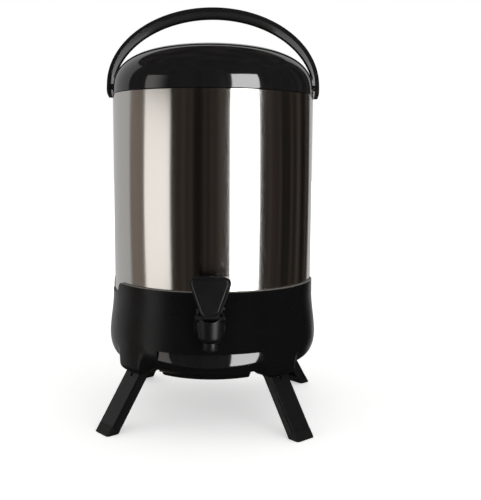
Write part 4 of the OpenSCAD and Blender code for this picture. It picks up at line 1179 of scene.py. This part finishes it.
    def dark_room(self):
        """Dark cards that only mirrors see: the studio's wall, floor and ceiling, open at the back left."""
        material, tree, _, place = new_material("stage_dark_felt")
        hang = node(tree, "ShaderNodeMapping", {"Scale": (per_mm(420), per_mm(420), 0.0)},
                    {"Vector": (place, "Object")})
        folds = noise(tree, (hang, "Vector"), 1.0, 3.0)
        pale = ranged(tree, (folds, "Fac"), 0.0, 1.0, 0.4, 0.72)
        tone = mixed(tree, (pale, "Result"), linear("#1A1816"), linear("#574E48"))
        glow = node(tree, "ShaderNodeEmission", {"Strength": 1.0}, {"Color": (tone, 2)})
        node(tree, tree.nodes["Material Output"], {}, {"Surface": (glow, 0)})
        start, end, far, low, high = -105, 143, 1900, -1200, 1700
        room = trace("dark_room", [(0, 0, low), (far, 0, low), (far, 0, high), (0, 0, high)])
        bpy.ops.mesh.select_all(action="SELECT")
        bpy.ops.mesh.spin(steps=64, angle=-math.radians(end - start), center=(0, 0, 0), axis=(0, 0, 1))
        self.only_mirrored(turn(room, Matrix.Rotation(math.radians(start - 90), 4, "Z")), material)
        for name, radius, height in (("dark_ceiling", 1.7, high - 5), ("dark_ground", 3.2, low - 5)):
            disc = primitive(name, bpy.ops.mesh.primitive_circle_add, vertices=64, radius=radius,
                             fill_type="NGON", location=(0, 0, height * MM))
            self.only_mirrored(turn(disc, disc.matrix_world.copy()), material)

    def camera(self):
        """The photograph's camera: 0.94 m from the barrel's axis, above its middle, looking slightly down."""
        data = bpy.data.cameras.new("photo_camera")
        data.sensor_width = 36.0
        data.lens = 54.85
        camera = bpy.data.objects.new("photo_camera", data)
        bpy.context.scene.collection.objects.link(camera)
        heading, pitch, roll = (math.radians(v) for v in (1.067, 7.052, 0.376))
        turned = Matrix.Rotation(-heading, 4, "Z") @ Matrix.Rotation(math.pi / 2 - pitch, 4, "X")
        turned = turned @ Matrix.Rotation(roll, 4, "Z")
        camera.matrix_world = Matrix.Translation((0.01650, -0.93753, 0.31321)) @ turned
        bpy.context.scene.camera = camera


class DISPENSER_PT_panel(bpy.types.Panel):
    """Lists the dispenser's settings and its pieces"""

    bl_idname = "DISPENSER_PT_panel"
    bl_label = "Drink dispenser"
    bl_space_type = "VIEW_3D"
    bl_region_type = "UI"
    bl_category = "Dispenser"

    def draw(self, context):
        values = context.scene.dispenser
        self.layout.prop(values, "steps")
        for group in (values.lid, values.bail, values.base, values.finishes, values.stage):
            for name in group.__annotations__:
                self.layout.prop(group, name)
        for operator in OPERATORS:
            self.layout.operator(operator.bl_idname)


OPERATORS = (DISPENSER_OT_barrel, DISPENSER_OT_lid, DISPENSER_OT_bail, DISPENSER_OT_base, DISPENSER_OT_legs,
             DISPENSER_OT_tap, DISPENSER_OT_stage)
GROUPS = (LidSizes, BailSizes, BaseSizes, Finishes, StageSettings, DispenserSettings)
CLASSES = GROUPS + OPERATORS + (DISPENSER_PT_panel,)


def register():
    for item in CLASSES:
        bpy.utils.register_class(item)
    bpy.types.Scene.dispenser = PointerProperty(type=DispenserSettings)


def unregister():
    del bpy.types.Scene.dispenser
    for item in reversed(CLASSES):
        bpy.utils.unregister_class(item)


def main():
    register()
    bpy.ops.dispenser.barrel()
    bpy.ops.dispenser.lid()
    bpy.ops.dispenser.bail()
    bpy.ops.dispenser.base()
    bpy.ops.dispenser.legs()
    bpy.ops.dispenser.tap()
    bpy.ops.dispenser.stage()


if __name__ == "__main__":
    main()
